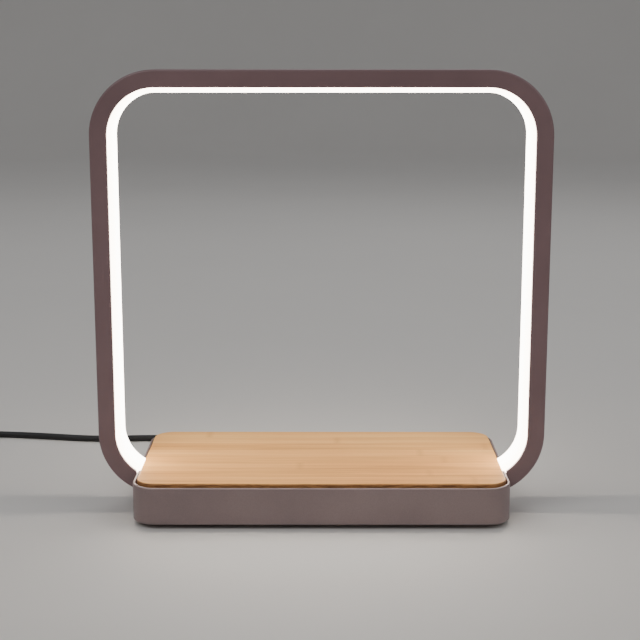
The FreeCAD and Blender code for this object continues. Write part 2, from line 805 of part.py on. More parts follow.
def makeChips():
    """LED chips on the strip's inner face, along both arms, the top and the corners."""
    inset = number(f"{webInset} + strip_thickness + chip_solder")
    side = number(ringHalf) - inset
    top = number("ring_top") - inset
    corner = number("ring_corner") - inset
    pitch = number("chip_pitch")
    length, width, height = (number(f"chip_{n}") for n in ("length", "width", "height"))
    chip = Part.makeBox(length, width, height, Vector(-length / 2, -width / 2, 0))
    low = number(arcZ)
    places = []
    rows = int((top - corner - low) // pitch)
    firstZ = (top - corner + low - (rows - 1) * pitch) / 2
    for row in range(rows):
        places.append((-side, firstZ + row * pitch, 90))
        places.append((side, firstZ + row * pitch, -90))
    columns = int(2 * (side - corner) // pitch)
    for column in range(columns):
        places.append(((column - (columns - 1) / 2) * pitch, top, 180))
    for turn in (22.5, 67.5):
        x = corner * math.cos(math.radians(turn))
        z = corner * math.sin(math.radians(turn))
        for mirror in (1, -1):
            places.append((mirror * (side - corner + x), top - corner + z, mirror * (-90 - turn)))
    chips = []
    for x, z, turn in places:
        piece = chip.copy()
        piece.rotate(Vector(0, 0, 0), Vector(0, 1, 0), turn)
        piece.translate(Vector(x, number(ringSpanY), z))
        chips.append(piece)
    return wholeFeature("led_chips", Part.makeCompound(chips))


def makeBracket():
    """Bent strap: a leg in the ring's chamber, the corner's arc and a foot inside the base."""
    body = newBody("bracket_right")

    def drawSection(sketch):
        drawRing(sketch, strapInset)
        drawRing(sketch, f"{strapInset} + strap_thickness")

    addPad(body, "XZ_Plane", "(ring_depth - strap_width) / 2", "strap_width", drawSection)
    reach = f"{ringHalf} + cut_margin"
    addPocket(body, "XZ_Plane", "0", "ring_depth",
              lambda s: drawRectangle(s, f"-({reach})", f"{arcX} - strap_foot", "0", "ring_top + cut_margin"))
    addPocket(body, "XZ_Plane", "0", "ring_depth",
              lambda s: drawRectangle(s, "0", reach, f"{arcZ} + strap_leg", "ring_top + cut_margin"))

    def drawHoles(sketch):
        for step in ("0", "strap_screw_step"):
            drawCircle(sketch, f"{strapScrewX} + {step}", ringSpanY, "screw_radius + screw_gap")

    addPocket(body, "XY_Plane", footUnder, "strap_thickness", drawHoles)
    return body


def makeLeftBracket(source):
    item = doc.addObject("Part::Mirroring", "bracket_left")
    item.Label = "bracket_left"
    item.Source = source
    item.Normal = Vector(1, 0, 0)
    item.Base = Vector(0, 0, 0)
    return item


def makeLedLeads():
    """Two leads from the end of the LED strip, past the bracket, to the board's connector."""
    side = number(halfWidth)
    run = number(f"{halfWidth} - {arcX}")
    corner = number("ring_corner")
    centreZ = number(arcZ)

    def onArc(inset, beyond):
        """Point of the left corner's arc, inset from the ring's outline and beyond the base's side."""
        return -side - beyond, centreZ - math.sqrt((corner - inset) ** 2 - (run + beyond) ** 2)

    stripX, stripZ = onArc(number(f"{webInset} + strip_thickness"), number("strip_end"))
    wallX, wallZ = onArc(number("outer_skin + chamber / 2") + 0.4, 0.6)
    foot = number(footTop)
    plugX = -number("connector_x + connector_width / 2")
    plugZ = number(f"{boardTop} + connector_height / 2") + 0.2
    tubes = []
    for lane in (-1, 1):
        near = -number("ring_side") - 2.0 + 0.7 * lane
        far = number(f"{boardRear} - board_row") + 1.2 * lane
        points = [
            Vector(stripX, near, stripZ),
            Vector(wallX, near, wallZ),
            Vector(6 - side, near, foot + 0.1),
            Vector(19 - side, near + 3, foot - 1.7),
            Vector(plugX - 18, far - 9, plugZ + 0.2),
            Vector(plugX - 9, far, plugZ),
            Vector(plugX, far, plugZ),
        ]
        tubes.append(tubeAlong(points, number("led_lead_radius"))[0])
    return wholeFeature("led_leads", Part.makeCompound(tubes))


# Cable

cablePoints = [
    Vector(0, 68.3, 8.23),
    Vector(0, 78.7, 8.23),
    Vector(-4.6, 88.1, 5.6),
    Vector(-15.5, 95, 2.7),
    Vector(-34, 96.6, 1.7),
    Vector(-60, 94.5, 1.7),
    Vector(-92, 96.2, 1.7),
    Vector(-122, 93.2, 1.7),
    Vector(-151, 99.2, 1.7),
    Vector(-172, 102.4, 1.7),
    Vector(-192.4, 104.2, 1.7),
]
tangent = (cablePoints[-1] - cablePoints[-2]).normalize()
hankEntry = 10.0
firstTurn = number("hank_radius + cable_radius")
hankX = cablePoints[-1].x + tangent.x * hankEntry - tangent.y * firstTurn
hankY = cablePoints[-1].y + tangent.y * hankEntry + tangent.x * firstTurn
tailStart = Vector(hankX - firstTurn, hankY, 0)
tailPoints = [tailStart + step for step in (
    Vector(0, -7, 1.7),
    Vector(1.5, -22, 1.7),
    Vector(5.5, -36, 2.3),
    Vector(12, -48.5, 3.8),
    Vector(19, -60, 3.8),
)]


def report(name, radii, length):
    print(f"{name}: length {length:.1f}, bend radii", ", ".join(f"{r:.1f}" for r in radii))


def makeCable():
    radii = []
    shape, length = tubeAlong(cablePoints, number("cable_radius"), radii)
    report("cable", radii, length)
    print(f"cable_hank: centre {hankX:.2f}, {hankY:.2f}")
    return wholeFeature("cable", shape)


def makeTail():
    radii = []
    shape, length = tubeAlong(tailPoints, number("cable_radius"), radii)
    report("cable_tail", radii, length)
    return wholeFeature("cable_tail", shape)


def makeHank():
    """Outer shape of the put-away turns of the cable."""
    item = doc.addObject("Part::Torus", "cable_hank")
    item.Label = "cable_hank"
    bind(item, {"Radius1": "hank_radius", "Radius2": "hank_thickness"})
    place(item, str(hankX), str(hankY), "hank_thickness")
    return item


def makePlugTip():
    body = newBody("usb_c_plug_tip")
    mouth = f"({halfDepth} + plug_stand)"
    end = f"({mouth} - tip_length)"
    addPad(body, "XZ_Plane", f"-{mouth}", "tip_length",
           lambda s: drawRounded(s, "tip_width", "tip_height", tipRound, "0", portHeight))
    addPocket(body, "XZ_Plane", f"-({end} + tip_length - tip_back)", "tip_length - tip_back",
              lambda s: drawRounded(s, "tip_width - 2 * tip_skin", "tip_height - 2 * tip_skin",
                                    f"{tipRound} - tip_skin", "0", portHeight))
    return body


def makePlug():
    body = newBody("usb_c_plug")
    ends = [number(f"{halfDepth} + plug_stand"), number(f"{halfDepth} + plug_stand + plug_length")]
    addPad(body, "XZ_Plane", f"-({halfDepth} + plug_stand + plug_length)", "plug_length",
           lambda s: drawRounded(s, "plug_width", "plug_height", "plug_height / 2 - plug_flat",
                                 "0", portHeight))

    def isEnd(middle, edge):
        return edge.BoundBox.YLength < tolerance and min(abs(middle.y - y) for y in ends) < tolerance

    addEdges(body, "Fillet", "plug_round", isEnd)
    return body


def makeRelief():
    item = cone("usb_c_strain_relief", "relief_radius", "cable_radius + relief_grip", "relief_length", "0",
                f"{halfDepth} + plug_stand + plug_length", portHeight)
    item.Placement.Rotation = Rotation(Vector(1, 0, 0), -90)
    return item


def alongTail(item, distance):
    """Lay a piece whose own X axis is its length along the tail's last run."""
    run = (tailPoints[-1] - tailPoints[-2]).normalize()
    turn = math.degrees(math.atan2(run.y, run.x))
    item.Placement = FreeCAD.Placement(tailPoints[-1] + run * distance, Rotation(Vector(0, 0, 1), turn))


def makeUsbRelief():
    item = doc.addObject("Part::Cone", "usb_a_strain_relief")
    item.Label = "usb_a_strain_relief"
    bind(item, {"Radius1": "cable_radius + relief_grip", "Radius2": "relief_radius",
                "Height": "relief_length"})
    alongTail(item, 0)
    item.Placement.Rotation = item.Placement.Rotation.multiply(Rotation(Vector(0, 1, 0), 90))
    return item


def makeUsbPlug():
    body = newBody("usb_a_plug")
    addPad(body, "YZ_Plane", "0", "usb_length",
           lambda s: drawRounded(s, "usb_width", "usb_height", "usb_corner"))
    ends = (0.0, number("usb_length"))

    def isEnd(middle, edge):
        return edge.BoundBox.XLength < tolerance and min(abs(middle.x - x) for x in ends) < tolerance

    addEdges(body, "Fillet", "plug_round", isEnd)
    alongTail(body, number("relief_length"))
    return body


def makeUsbShell():
    body = newBody("usb_a_shell")
    addPad(body, "YZ_Plane", "0", "usb_shell_length",
           lambda s: drawRounded(s, "usb_shell_width", "usb_shell_height", "usb_shell_corner"))
    addPocket(body, "YZ_Plane", "usb_shell_back", "usb_shell_length - usb_shell_back",
              lambda s: drawRounded(s, "usb_shell_width - 2 * usb_shell_skin",
                                    "usb_shell_height - 2 * usb_shell_skin", "usb_shell_corner / 2"))
    alongTail(body, number("relief_length + usb_length"))
    return body


# Assembly

strapPlaces = [(f"{side}({strapScrewX} + {step})", ringSpanY) for side in ("", "-")
               for step in ("0", "strap_screw_step")]
trayPlaces = [(f"tray_screw_radius * cos({turn} deg)", f"tray_screw_radius * sin({turn} deg)")
              for turn in traySteps]
rightBracket = makeBracket()
parts = [
    makeBaseShell(),
    makeBottomCover(),
    makeRubberFeet(),
    makeScrews("cover_screws", fourPlaces("cover_screw_x", f"-{screwY}", screwY), "base_lift",
               "cover_screw_length"),
    makeBambooPlate(),
    makeFilm(),
    makeCoil(),
    disc("ferrite_disc", "ferrite_radius", "ferrite_thickness", "0", "0", trayFloorTop),
    block("thermistor", "thermistor_length", "thermistor_width", "thermistor_height", "0", "0", coilBottom),
    makeTray(),
    makeScrews("tray_screws", trayPlaces, f"{trayBottom} - small_head_height",
               "tray_thickness + tray_screw_reach",
               head="small_head_radius", rise="small_head_height", shank="small_screw_radius"),
    makeCoilLeads(),
    makeBoard(),
    makeScrews("board_screws", fourPlaces(boardScrewX, boardScrewFront, boardScrewRear), boardTop,
               "board_thickness + standoff", up=False,
               head="small_head_radius", rise="small_head_height", shank="small_screw_radius"),
    block("control_chip", "control_size", "control_size", "package_height", "-control_x",
          f"{boardRear} - control_row", boardTop),
    block("ring_light_driver", "driver_size", "driver_size", "package_height", "-driver_x",
          f"{boardRear} - board_row", boardTop),
    makeCapacitors(),
    block("power_inductor", "inductor_size", "inductor_size", "inductor_height", "inductor_x",
          f"{boardRear} - board_row", boardTop),
    block("light_connector", "connector_width", "connector_depth", "connector_height", "-connector_x",
          f"{boardRear} - board_row", boardTop),
    makeSocket(),
    makeSwitch(),
    makePlunger(),
    makeButton(),
    block("ballast_plate", f"2 * (min(cover_screw_x - boss_radius; {arcX} - strap_foot) - ballast_gap)",
          "ballast_depth", "ballast_thickness", "0",
          f"wall + ballast_inset + ballast_depth / 2 - {halfDepth}", coverTop),
    makeChannel(),
    makeDiffuser(),
    makeStrip(),
    makeChips(),
    rightBracket,
    makeLeftBracket(rightBracket),
    makeScrews("bracket_screws", strapPlaces, f"{footUnder} - head_height",
               "strap_thickness + strap_screw_reach"),
    makeLedLeads(),
    makePlugTip(),
    makePlug(),
    makeRelief(),
    makeCable(),
    makeHank(),
    makeTail(),
    makeUsbRelief(),
    makeUsbPlug(),
    makeUsbShell(),
]
doc.recompute()

failed = [item.Label for item in doc.Objects if {"Invalid", "Error"} & set(item.State)]
if failed:
    raise RuntimeError("failed objects: " + ", ".join(failed))
for item in parts:
    if item.Shape.isNull() or not item.Shape.isValid():
        raise RuntimeError(f"{item.Label} has no valid shape")

os.makedirs("parts", exist_ok=True)
for item in parts:
    item.Shape.exportStep(f"parts/{item.Label}.step")
    box = item.Shape.BoundBox
    print(f"{item.Label:22s} solids {len(item.Shape.Solids):3d}  volume {item.Shape.Volume:10.1f}  "
          f"x {box.XMin:7.1f} {box.XMax:7.1f}  y {box.YMin:7.1f} {box.YMax:7.1f}  "
          f"z {box.ZMin:6.1f} {box.ZMax:6.1f}")
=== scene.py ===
import bpy
import bmesh
import json
import math
from mathutils import Matrix, Vector


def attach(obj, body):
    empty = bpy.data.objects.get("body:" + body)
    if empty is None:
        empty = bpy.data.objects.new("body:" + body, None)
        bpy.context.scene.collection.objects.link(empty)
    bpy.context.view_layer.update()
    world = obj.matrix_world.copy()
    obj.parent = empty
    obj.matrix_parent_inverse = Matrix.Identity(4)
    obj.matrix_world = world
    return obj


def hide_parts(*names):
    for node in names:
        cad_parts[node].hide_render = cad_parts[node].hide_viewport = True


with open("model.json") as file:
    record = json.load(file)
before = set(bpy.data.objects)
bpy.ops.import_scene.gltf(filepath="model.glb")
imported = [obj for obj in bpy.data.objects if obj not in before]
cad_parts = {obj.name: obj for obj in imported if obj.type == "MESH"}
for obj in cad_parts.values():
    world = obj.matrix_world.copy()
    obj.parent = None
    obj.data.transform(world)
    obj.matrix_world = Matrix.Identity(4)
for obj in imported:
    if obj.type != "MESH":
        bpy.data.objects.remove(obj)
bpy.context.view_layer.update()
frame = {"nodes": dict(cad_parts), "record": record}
mm = 0.001
finishes = {}                  # materials already made, by name


# camera

cameraSetup = {
    "place": (0.0005, -0.6167, 0.2094),
    "pitch": 11.27,            # degrees below level
    "yaw": 0.11,               # degrees to the left
    "lens": 76.1,
    "sensor": 36,
    "nearest": 0.05,
}


def makeCamera():
    data = bpy.data.cameras.new("mainCamera")
    data.lens = cameraSetup["lens"]
    data.sensor_width = cameraSetup["sensor"]
    data.clip_start = cameraSetup["nearest"]
    camera = bpy.data.objects.new("mainCamera", data)
    camera.location = cameraSetup["place"]
    camera.rotation_euler = (math.radians(90 - cameraSetup["pitch"]), 0, math.radians(cameraSetup["yaw"]))
    bpy.context.collection.objects.link(camera)
    bpy.context.scene.camera = camera


# materials: node helpers

def newMaterial(name):
    material = bpy.data.materials.new(name)
    material.use_nodes = True
    tree = material.node_tree
    return material, tree, tree.nodes["Principled BSDF"]


def objectCoords(tree, scale=(1, 1, 1)):
    coords = tree.nodes.new("ShaderNodeTexCoord")
    mapping = tree.nodes.new("ShaderNodeMapping")
    mapping.inputs["Scale"].default_value = scale
    tree.links.new(coords.outputs["Object"], mapping.inputs["Vector"])
    return mapping.outputs["Vector"]


def addNoise(tree, vector, scale, detail=3.0, roughness=0.55):
    noise = tree.nodes.new("ShaderNodeTexNoise")
    noise.inputs["Scale"].default_value = scale
    noise.inputs["Detail"].default_value = detail
    noise.inputs["Roughness"].default_value = roughness
    tree.links.new(vector, noise.inputs["Vector"])
    return noise.outputs["Fac"]


def addRamp(tree, source, stops):
    ramp = tree.nodes.new("ShaderNodeValToRGB")
    elements = ramp.color_ramp.elements
    while len(elements) < len(stops):
        elements.new(0.5)
    for element, (place, color) in zip(elements, stops):
        element.position = place
        element.color = (*color, 1)
    tree.links.new(source, ramp.inputs["Fac"])
    return ramp.outputs["Color"]


def addRange(tree, source, low, high, fromLow=0.3, fromHigh=0.7):
    node = tree.nodes.new("ShaderNodeMapRange")
    node.inputs["From Min"].default_value = fromLow
    node.inputs["From Max"].default_value = fromHigh
    node.inputs["To Min"].default_value = low
    node.inputs["To Max"].default_value = high
    tree.links.new(source, node.inputs["Value"])
    return node.outputs["Result"]


def addMath(tree, operation, first, second=None):
    node = tree.nodes.new("ShaderNodeMath")
    node.operation = operation
    for index, value in enumerate((first, second)):
        if isinstance(value, (int, float)):
            node.inputs[index].default_value = value
        elif value is not None:
            tree.links.new(value, node.inputs[index])
    return node.outputs["Value"]


def addMix(tree, factor, first, second, blend="MIX"):
    node = tree.nodes.new("ShaderNodeMix")
    node.data_type = "RGBA"
    node.blend_type = blend
    # its colour sockets share their names with others, so they go by number
    for socket, value in ((node.inputs["Factor"], factor), (node.inputs[6], first), (node.inputs[7], second)):
        if isinstance(value, (int, float)):
            socket.default_value = value
        elif isinstance(value, tuple):
            socket.default_value = (*value, 1)
        else:
            tree.links.new(value, socket)
    return node.outputs[2]


def addBump(tree, shader, height, strength, distance):
    bump = tree.nodes.new("ShaderNodeBump")
    bump.inputs["Strength"].default_value = strength
    bump.inputs["Distance"].default_value = distance
    tree.links.new(height, bump.inputs["Height"])
    tree.links.new(bump.outputs["Normal"], shader.inputs["Normal"])


def splitAxes(tree, vector):
    node = tree.nodes.new("ShaderNodeSeparateXYZ")
    tree.links.new(vector, node.inputs["Vector"])
    return node.outputs["X"], node.outputs["Y"], node.outputs["Z"]


def toLinear(red, green, blue):
    # display colour, 0 to 255, to the linear values that shaders take
    parts = []
    for value in (red, green, blue):
        value /= 255
        parts.append(value / 12.92 if value <= 0.04045 else ((value + 0.055) / 1.055) ** 2.4)
    return tuple(parts)


def addTones(tree, source, *stops):
    # a ramp through display colours
    return addRamp(tree, source, [(place, toLinear(*color)) for place, color in stops])


def setRoughness(tree, shader, source, ends, span=(0.3, 0.7)):
    tree.links.new(addRange(tree, source, *ends, *span), shader.inputs["Roughness"])


# moulded, coated and rubber surfaces: two close colours, roughness, grain size and depth in metres

surfaces = {
    "casingPlastic": {"dark": (131, 113, 113), "light": (141, 122, 121), "gloss": 0.46, "grain": 2600,
                      "depth": 0.00002, "coat": 0.12},
    "ringPaint": {"dark": (126, 100, 102), "light": (135, 108, 110), "gloss": 0.38, "grain": 3200,
                  "depth": 0.00001, "coat": 0.2},
    "cableJacket": {"dark": (20, 19, 20), "light": (31, 29, 30), "gloss": 0.5, "grain": 2400,
                    "depth": 0.00003},
    "plugGrip": {"dark": (22, 21, 22), "light": (30, 29, 30), "gloss": 0.58, "grain": 3000,
                 "depth": 0.00003},
    "buttonCap": {"dark": (104, 88, 88), "light": (114, 97, 97), "gloss": 0.34, "grain": 3000,
                  "depth": 0.00001, "coat": 0.3},
    "footRubber": {"dark": (34, 33, 33), "light": (48, 46, 46), "gloss": 0.82, "grain": 1500,
                   "depth": 0.00005},
    "adhesive": {"dark": (205, 201, 190), "light": (226, 223, 214), "gloss": 0.3, "grain": 500,
                 "depth": 0.00002},
    "trayPlastic": {"dark": (206, 204, 199), "light": (219, 217, 212), "gloss": 0.45, "grain": 1800,
                    "depth": 0.00002},
    "epoxyBlack": {"dark": (24, 24, 26), "light": (40, 40, 43), "gloss": 0.42, "grain": 2800,
                   "depth": 0.00002},
    "leadSkin": {"dark": (140, 24, 20), "light": (168, 34, 28), "gloss": 0.4, "grain": 1600,
                 "depth": 0.00002},
    "capCeramic": {"dark": (166, 132, 92), "light": (190, 156, 112), "gloss": 0.35, "grain": 2200,
                   "depth": 0.00001},
    "contactNickel": {"dark": (176, 173, 167), "light": (206, 203, 196), "gloss": 0.28, "grain": 2600,
                      "depth": 0.00001, "metal": 1.0},
    "chipPhosphor": {"dark": (236, 214, 120), "light": (250, 232, 160), "gloss": 0.3, "grain": 1600,
                     "depth": 0.00001, "glow": 1.5},
}

grainSetup = {                 # what these surfaces share
    "driftScale": 22,
    "driftSpan": (0.36, 0.64),
    "flecks": (0.93, 1.05),    # how far the fine grain darkens and lightens the colour
    "rubScale": 55,
    "rubs": (-0.07, 0.05),     # change of roughness over rubbed patches
    "glossSpread": 0.05,
    "bump": 0.4,
    "coatRoughness": 0.25,
}


def surface(name):
    # faint colour drift, fine grain in gloss and bump, and rubbed patches that are a little shinier
    look, shared = surfaces[name], grainSetup
    material, tree, shader = newMaterial(name)
    vector = objectCoords(tree)
    low, high = shared["driftSpan"]
    drift = addNoise(tree, vector, shared["driftScale"], 4)
    color = addTones(tree, drift, (low, look["dark"]), (high, look["light"]))
    fine = addNoise(tree, vector, look["grain"], 2)
    flecks = addRange(tree, fine, *shared["flecks"])
    shade = tree.nodes.new("ShaderNodeCombineColor")
    for channel in ("Red", "Green", "Blue"):
        tree.links.new(flecks, shade.inputs[channel])
    tree.links.new(addMix(tree, 1.0, color, shade.outputs["Color"], "MULTIPLY"), shader.inputs["Base Color"])
    rubbed = addRange(tree, addNoise(tree, vector, shared["rubScale"], 5, 0.7), *shared["rubs"])
    spread = shared["glossSpread"]
    gloss = addRange(tree, fine, look["gloss"] - spread, look["gloss"] + spread)
    tree.links.new(addMath(tree, "ADD", gloss, rubbed), shader.inputs["Roughness"])
    addBump(tree, shader, fine, shared["bump"], look["depth"])
    shader.inputs["Metallic"].default_value = look.get("metal", 0.0)
    shader.inputs["Coat Weight"].default_value = look.get("coat", 0.0)
    shader.inputs["Coat Roughness"].default_value = shared["coatRoughness"]
    if "glow" in look:
        tree.links.new(color, shader.inputs["Emission Color"])
        shader.inputs["Emission Strength"].default_value = look["glow"]
    return material


bambooLook = {
    "pale": (254, 198, 118),
    "warm": (241, 174, 94),
    "line": (209, 138, 65),
    "toneSpan": (0.3, 0.46, 0.66),     # where line, warm and pale lie among the fibres
    # the side colours are the plies' own darker tone with painted shade added on top
    "sidePlyShadedLight": (198, 140, 80),
    "sidePlyShadedDark": (138, 90, 46),
    "edgeSpan": (0.38, 0.62),
    "edgeTop": 0.0206,         # metres; below this height the side of the board shows
    "edgeLow": 0.0204,
    "broadScale": (7, 190, 190),       # long fibres along the board, in three sizes
    "fibreScale": (16, 900, 900),
    "poreScale": (60, 3200, 3200),
    "endScale": (160, 160, 1400),
    "broadShare": 0.55,
    "fibreShare": 0.45,
    "stripShare": 0.16,        # difference between one strip and the next
    "stripWidth": 0.0105,      # metres across the grain
    "poreDepth": 0.35,
    "poreSpan": (0.56, 0.72),
    "knotSpacing": 0.19,       # metres along a strip from one joint of the cane to the next
    "knotShift": 7.3,          # spreads the joints of neighbouring strips
    "knotDepth": 0.42,
    "knotWidth": 0.013,        # share of the spacing
    "glueDepth": 0.3,
    "glueStart": 0.475,        # share of a strip, out from its middle
    "roughness": (0.52, 0.38),
    "coat": 0.15,
    "coatRoughness": 0.3,
    "bump": 0.35,
    "bumpDepth": 0.00004,
}


def offMiddle(tree, value):
    # distance of a repeating value from the middle of its repeat
    return addMath(tree, "ABSOLUTE", addMath(tree, "SUBTRACT", addMath(tree, "FRACT", value), 0.5))


def bambooWood(name):
    look = bambooLook
    material, tree, shader = newMaterial(name)
    x, y, z = splitAxes(tree, objectCoords(tree))
    line = toLinear(*look["line"])
    strips = addMath(tree, "DIVIDE", y, look["stripWidth"])
    randomStrip = tree.nodes.new("ShaderNodeTexWhiteNoise")
    randomStrip.noise_dimensions = "1D"
    tree.links.new(addMath(tree, "FLOOR", strips), randomStrip.inputs["W"])
    chance = randomStrip.outputs["Value"]

    broad = addNoise(tree, objectCoords(tree, look["broadScale"]), 1.0, 4, 0.6)
    fibres = addNoise(tree, objectCoords(tree, look["fibreScale"]), 1.0, 4, 0.65)
    pores = addNoise(tree, objectCoords(tree, look["poreScale"]), 1.0, 2, 0.5)
    mixed = addMath(tree, "ADD", addMath(tree, "MULTIPLY", broad, look["broadShare"]),
                    addMath(tree, "MULTIPLY", fibres, look["fibreShare"]))
    lean = addMath(tree, "SUBTRACT", chance, 0.5)
    mixed = addMath(tree, "ADD", mixed, addMath(tree, "MULTIPLY", lean, look["stripShare"]))
    color = addTones(tree, mixed, *zip(look["toneSpan"], (look["line"], look["warm"], look["pale"])))
    color = addMix(tree, addRange(tree, pores, 0.0, look["poreDepth"], *look["poreSpan"]), color, line)

    # joints of the cane: a thin darker band across each strip, at its own place
    along = addMath(tree, "ADD", addMath(tree, "DIVIDE", x, look["knotSpacing"]),
                    addMath(tree, "MULTIPLY", chance, look["knotShift"]))
    joint = addRange(tree, offMiddle(tree, along), look["knotDepth"], 0.0, 0.0, look["knotWidth"])
    color = addMix(tree, joint, color, line)

    # the glue lines between the strips
    glue = addRange(tree, offMiddle(tree, strips), 0.0, look["glueDepth"], look["glueStart"], 0.5)
    color = addMix(tree, glue, color, line)

    # the board's sides: plies with short fibre ends, darker partly in their own tone and partly by painted
    # shade
    ends = addNoise(tree, objectCoords(tree, look["endScale"]), 1.0, 4, 0.6)
    side = addTones(tree, ends, *zip(look["edgeSpan"], (look["sidePlyShadedDark"], look["sidePlyShadedLight"])))
    isTop = addRange(tree, z, 0.0, 1.0, look["edgeLow"], look["edgeTop"])
    tree.links.new(addMix(tree, isTop, side, color), shader.inputs["Base Color"])
    setRoughness(tree, shader, mixed, look["roughness"])
    shader.inputs["Coat Weight"].default_value = look["coat"]
    shader.inputs["Coat Roughness"].default_value = look["coatRoughness"]
    addBump(tree, shader, fibres, look["bump"], look["bumpDepth"])
    return material


glowLook = {
    "middle": (1.0, 0.93, 0.85),
    "edge": (1.0, 0.86, 0.72),
    "fade": 0.55,              # share of the half width where the light starts to dim
    "strength": 13.0,
    "centreY": -0.010,
    "halfWidth": 0.0084,
    "opalScale": 40,
    "opalDark": (0.82, 0.81, 0.79),
    "opalLight": (0.9, 0.9, 0.88),
    "roughness": (0.34, 0.44),
}


def diffuserGlow(name):
    # opal plastic, brightest over the chips and dimmer near its two sides
    look = glowLook
    material, tree, shader = newMaterial(name)
    vector = objectCoords(tree)
    y = splitAxes(tree, vector)[1]
    off = addMath(tree, "ABSOLUTE", addMath(tree, "SUBTRACT", y, look["centreY"]))
    share = addRange(tree, off, 0.0, 1.0, 0.0, look["halfWidth"])
    tree.links.new(addRamp(tree, share, [(look["fade"], look["middle"]), (1.0, look["edge"])]),
                   shader.inputs["Emission Color"])
    shader.inputs["Emission Strength"].default_value = look["strength"]
    opal = addNoise(tree, vector, look["opalScale"], 3)
    tree.links.new(addRamp(tree, opal, [(0.3, look["opalDark"]), (0.7, look["opalLight"])]),
                   shader.inputs["Base Color"])
    setRoughness(tree, shader, opal, look["roughness"])
    return material


brushedLooks = {
    "screwSteel": {"dark": (128, 126, 124), "light": (172, 170, 167), "scale": (900, 900, 300),
                   "roughness": (0.28, 0.46)},
    "plateSteel": {"dark": (150, 149, 147), "light": (184, 182, 179), "scale": (60, 1800, 1800),
                   "roughness": (0.24, 0.42)},
}


def brushedMetal(name):
    look = brushedLooks[name]
    material, tree, shader = newMaterial(name)
    strokes = addNoise(tree, objectCoords(tree, look["scale"]), 1.0, 4, 0.6)
    tree.links.new(addTones(tree, strokes, (0.3, look["dark"]), (0.7, look["light"])),
                   shader.inputs["Base Color"])
    setRoughness(tree, shader, strokes, look["roughness"])
    shader.inputs["Metallic"].default_value = 1.0
    addBump(tree, shader, strokes, 0.2, 0.00001)
    return material


coilLook = {
    "gap": (96, 44, 20),
    "wire": (206, 122, 70),
    "turns": 150,
    "waver": 0.2,
    "roughness": (0.42, 0.26),
    "metal": 0.9,
    "depth": 0.0001,
}


def coilCopper(name):
    # enamelled turns about the coil's middle
    look = coilLook
    material, tree, shader = newMaterial(name)
    rings = tree.nodes.new("ShaderNodeTexWave")
    rings.wave_type = "RINGS"
    rings.rings_direction = "Z"
    rings.inputs["Scale"].default_value = look["turns"]
    rings.inputs["Distortion"].default_value = look["waver"]
    tree.links.new(objectCoords(tree), rings.inputs["Vector"])
    wave = rings.outputs["Fac"]
    tree.links.new(addTones(tree, wave, (0.1, look["gap"]), (0.7, look["wire"])), shader.inputs["Base Color"])
    setRoughness(tree, shader, wave, look["roughness"])
    shader.inputs["Metallic"].default_value = look["metal"]
    addBump(tree, shader, wave, 0.6, look["depth"])
    return material


ferriteLook = {
    "crack": (26, 26, 28),
    "flake": (62, 62, 66),
    "scale": 420,
    "crackWidth": 0.1,
    "roughness": (0.7, 0.5),
    "depth": 0.00003,
}


def ferriteSheet(name):
    # pressed dark ceramic, scored into small irregular flakes
    look = ferriteLook
    material, tree, shader = newMaterial(name)
    flakes = tree.nodes.new("ShaderNodeTexVoronoi")
    flakes.feature = "DISTANCE_TO_EDGE"
    flakes.inputs["Scale"].default_value = look["scale"]
    tree.links.new(objectCoords(tree), flakes.inputs["Vector"])
    distance = flakes.outputs["Distance"]
    tree.links.new(addTones(tree, distance, (0.0, look["crack"]), (look["crackWidth"], look["flake"])),
                   shader.inputs["Base Color"])
    setRoughness(tree, shader, distance, look["roughness"], (0.0, look["crackWidth"]))
    addBump(tree, shader, distance, 0.3, look["depth"])
    return material


circuitLooks = {
    "circuitGreen": {"mask": (24, 84, 48), "trace": (58, 128, 82)},
    "circuitWhite": {"mask": (224, 224, 218), "trace": (196, 190, 172)},
}

trackSetup = {"scale": 260, "width": 0.08, "shade": 0.93, "roughness": (0.3, 0.42), "depth": 0.00003}


def circuitMask(name):
    # solder mask over a raised pattern of tracks
    look, track = circuitLooks[name], trackSetup
    material, tree, shader = newMaterial(name)
    tracks = tree.nodes.new("ShaderNodeTexBrick")
    tracks.inputs["Scale"].default_value = track["scale"]
    tracks.inputs["Mortar Size"].default_value = track["width"]
    darker = [value * track["shade"] for value in look["mask"]]
    for socket, color in (("Color1", look["mask"]), ("Color2", darker), ("Mortar", look["trace"])):
        tracks.inputs[socket].default_value = (*toLinear(*color), 1)
    tree.links.new(objectCoords(tree), tracks.inputs["Vector"])
    tree.links.new(tracks.outputs["Color"], shader.inputs["Base Color"])
    setRoughness(tree, shader, tracks.outputs["Fac"], track["roughness"], (0.0, 1.0))
    addBump(tree, shader, tracks.outputs["Fac"], 0.3, track["depth"])
    return material


makers = {                     # the other materials are rows of surfaces
    "bambooWood": bambooWood,
    "diffuserGlow": diffuserGlow,
    "screwSteel": brushedMetal,
    "plateSteel": brushedMetal,
    "coilCopper": coilCopper,
    "ferriteSheet": ferriteSheet,
    "circuitGreen": circuitMask,
    "circuitWhite": circuitMask,
}

slotFinishes = {
    "casing": "casingPlastic",
    "feet": "footRubber",
    "screws": "screwSteel",
    "bamboo": "bambooWood",
    "film": "adhesive",
    "copper": "coilCopper",
    "ferrite": "ferriteSheet",
    "component": "epoxyBlack",
    "tray": "trayPlastic",
    "lead": "leadSkin",
    "circuit": "circuitGreen",
    "circuit_white": "circuitWhite",
    "ceramic_cap": "capCeramic",
    "contact_metal": "contactNickel",
    "button": "buttonCap",
    "steel": "plateSteel",
    "ring_coat": "ringPaint",
    "diffuser": "diffuserGlow",
    "led": "chipPhosphor",
    "cable_black": "cableJacket",
}


def finish(name):
    # each material is made the first time it is asked for
    if name not in finishes:
        finishes[name] = makers.get(name, surface)(name)
    return finishes[name]


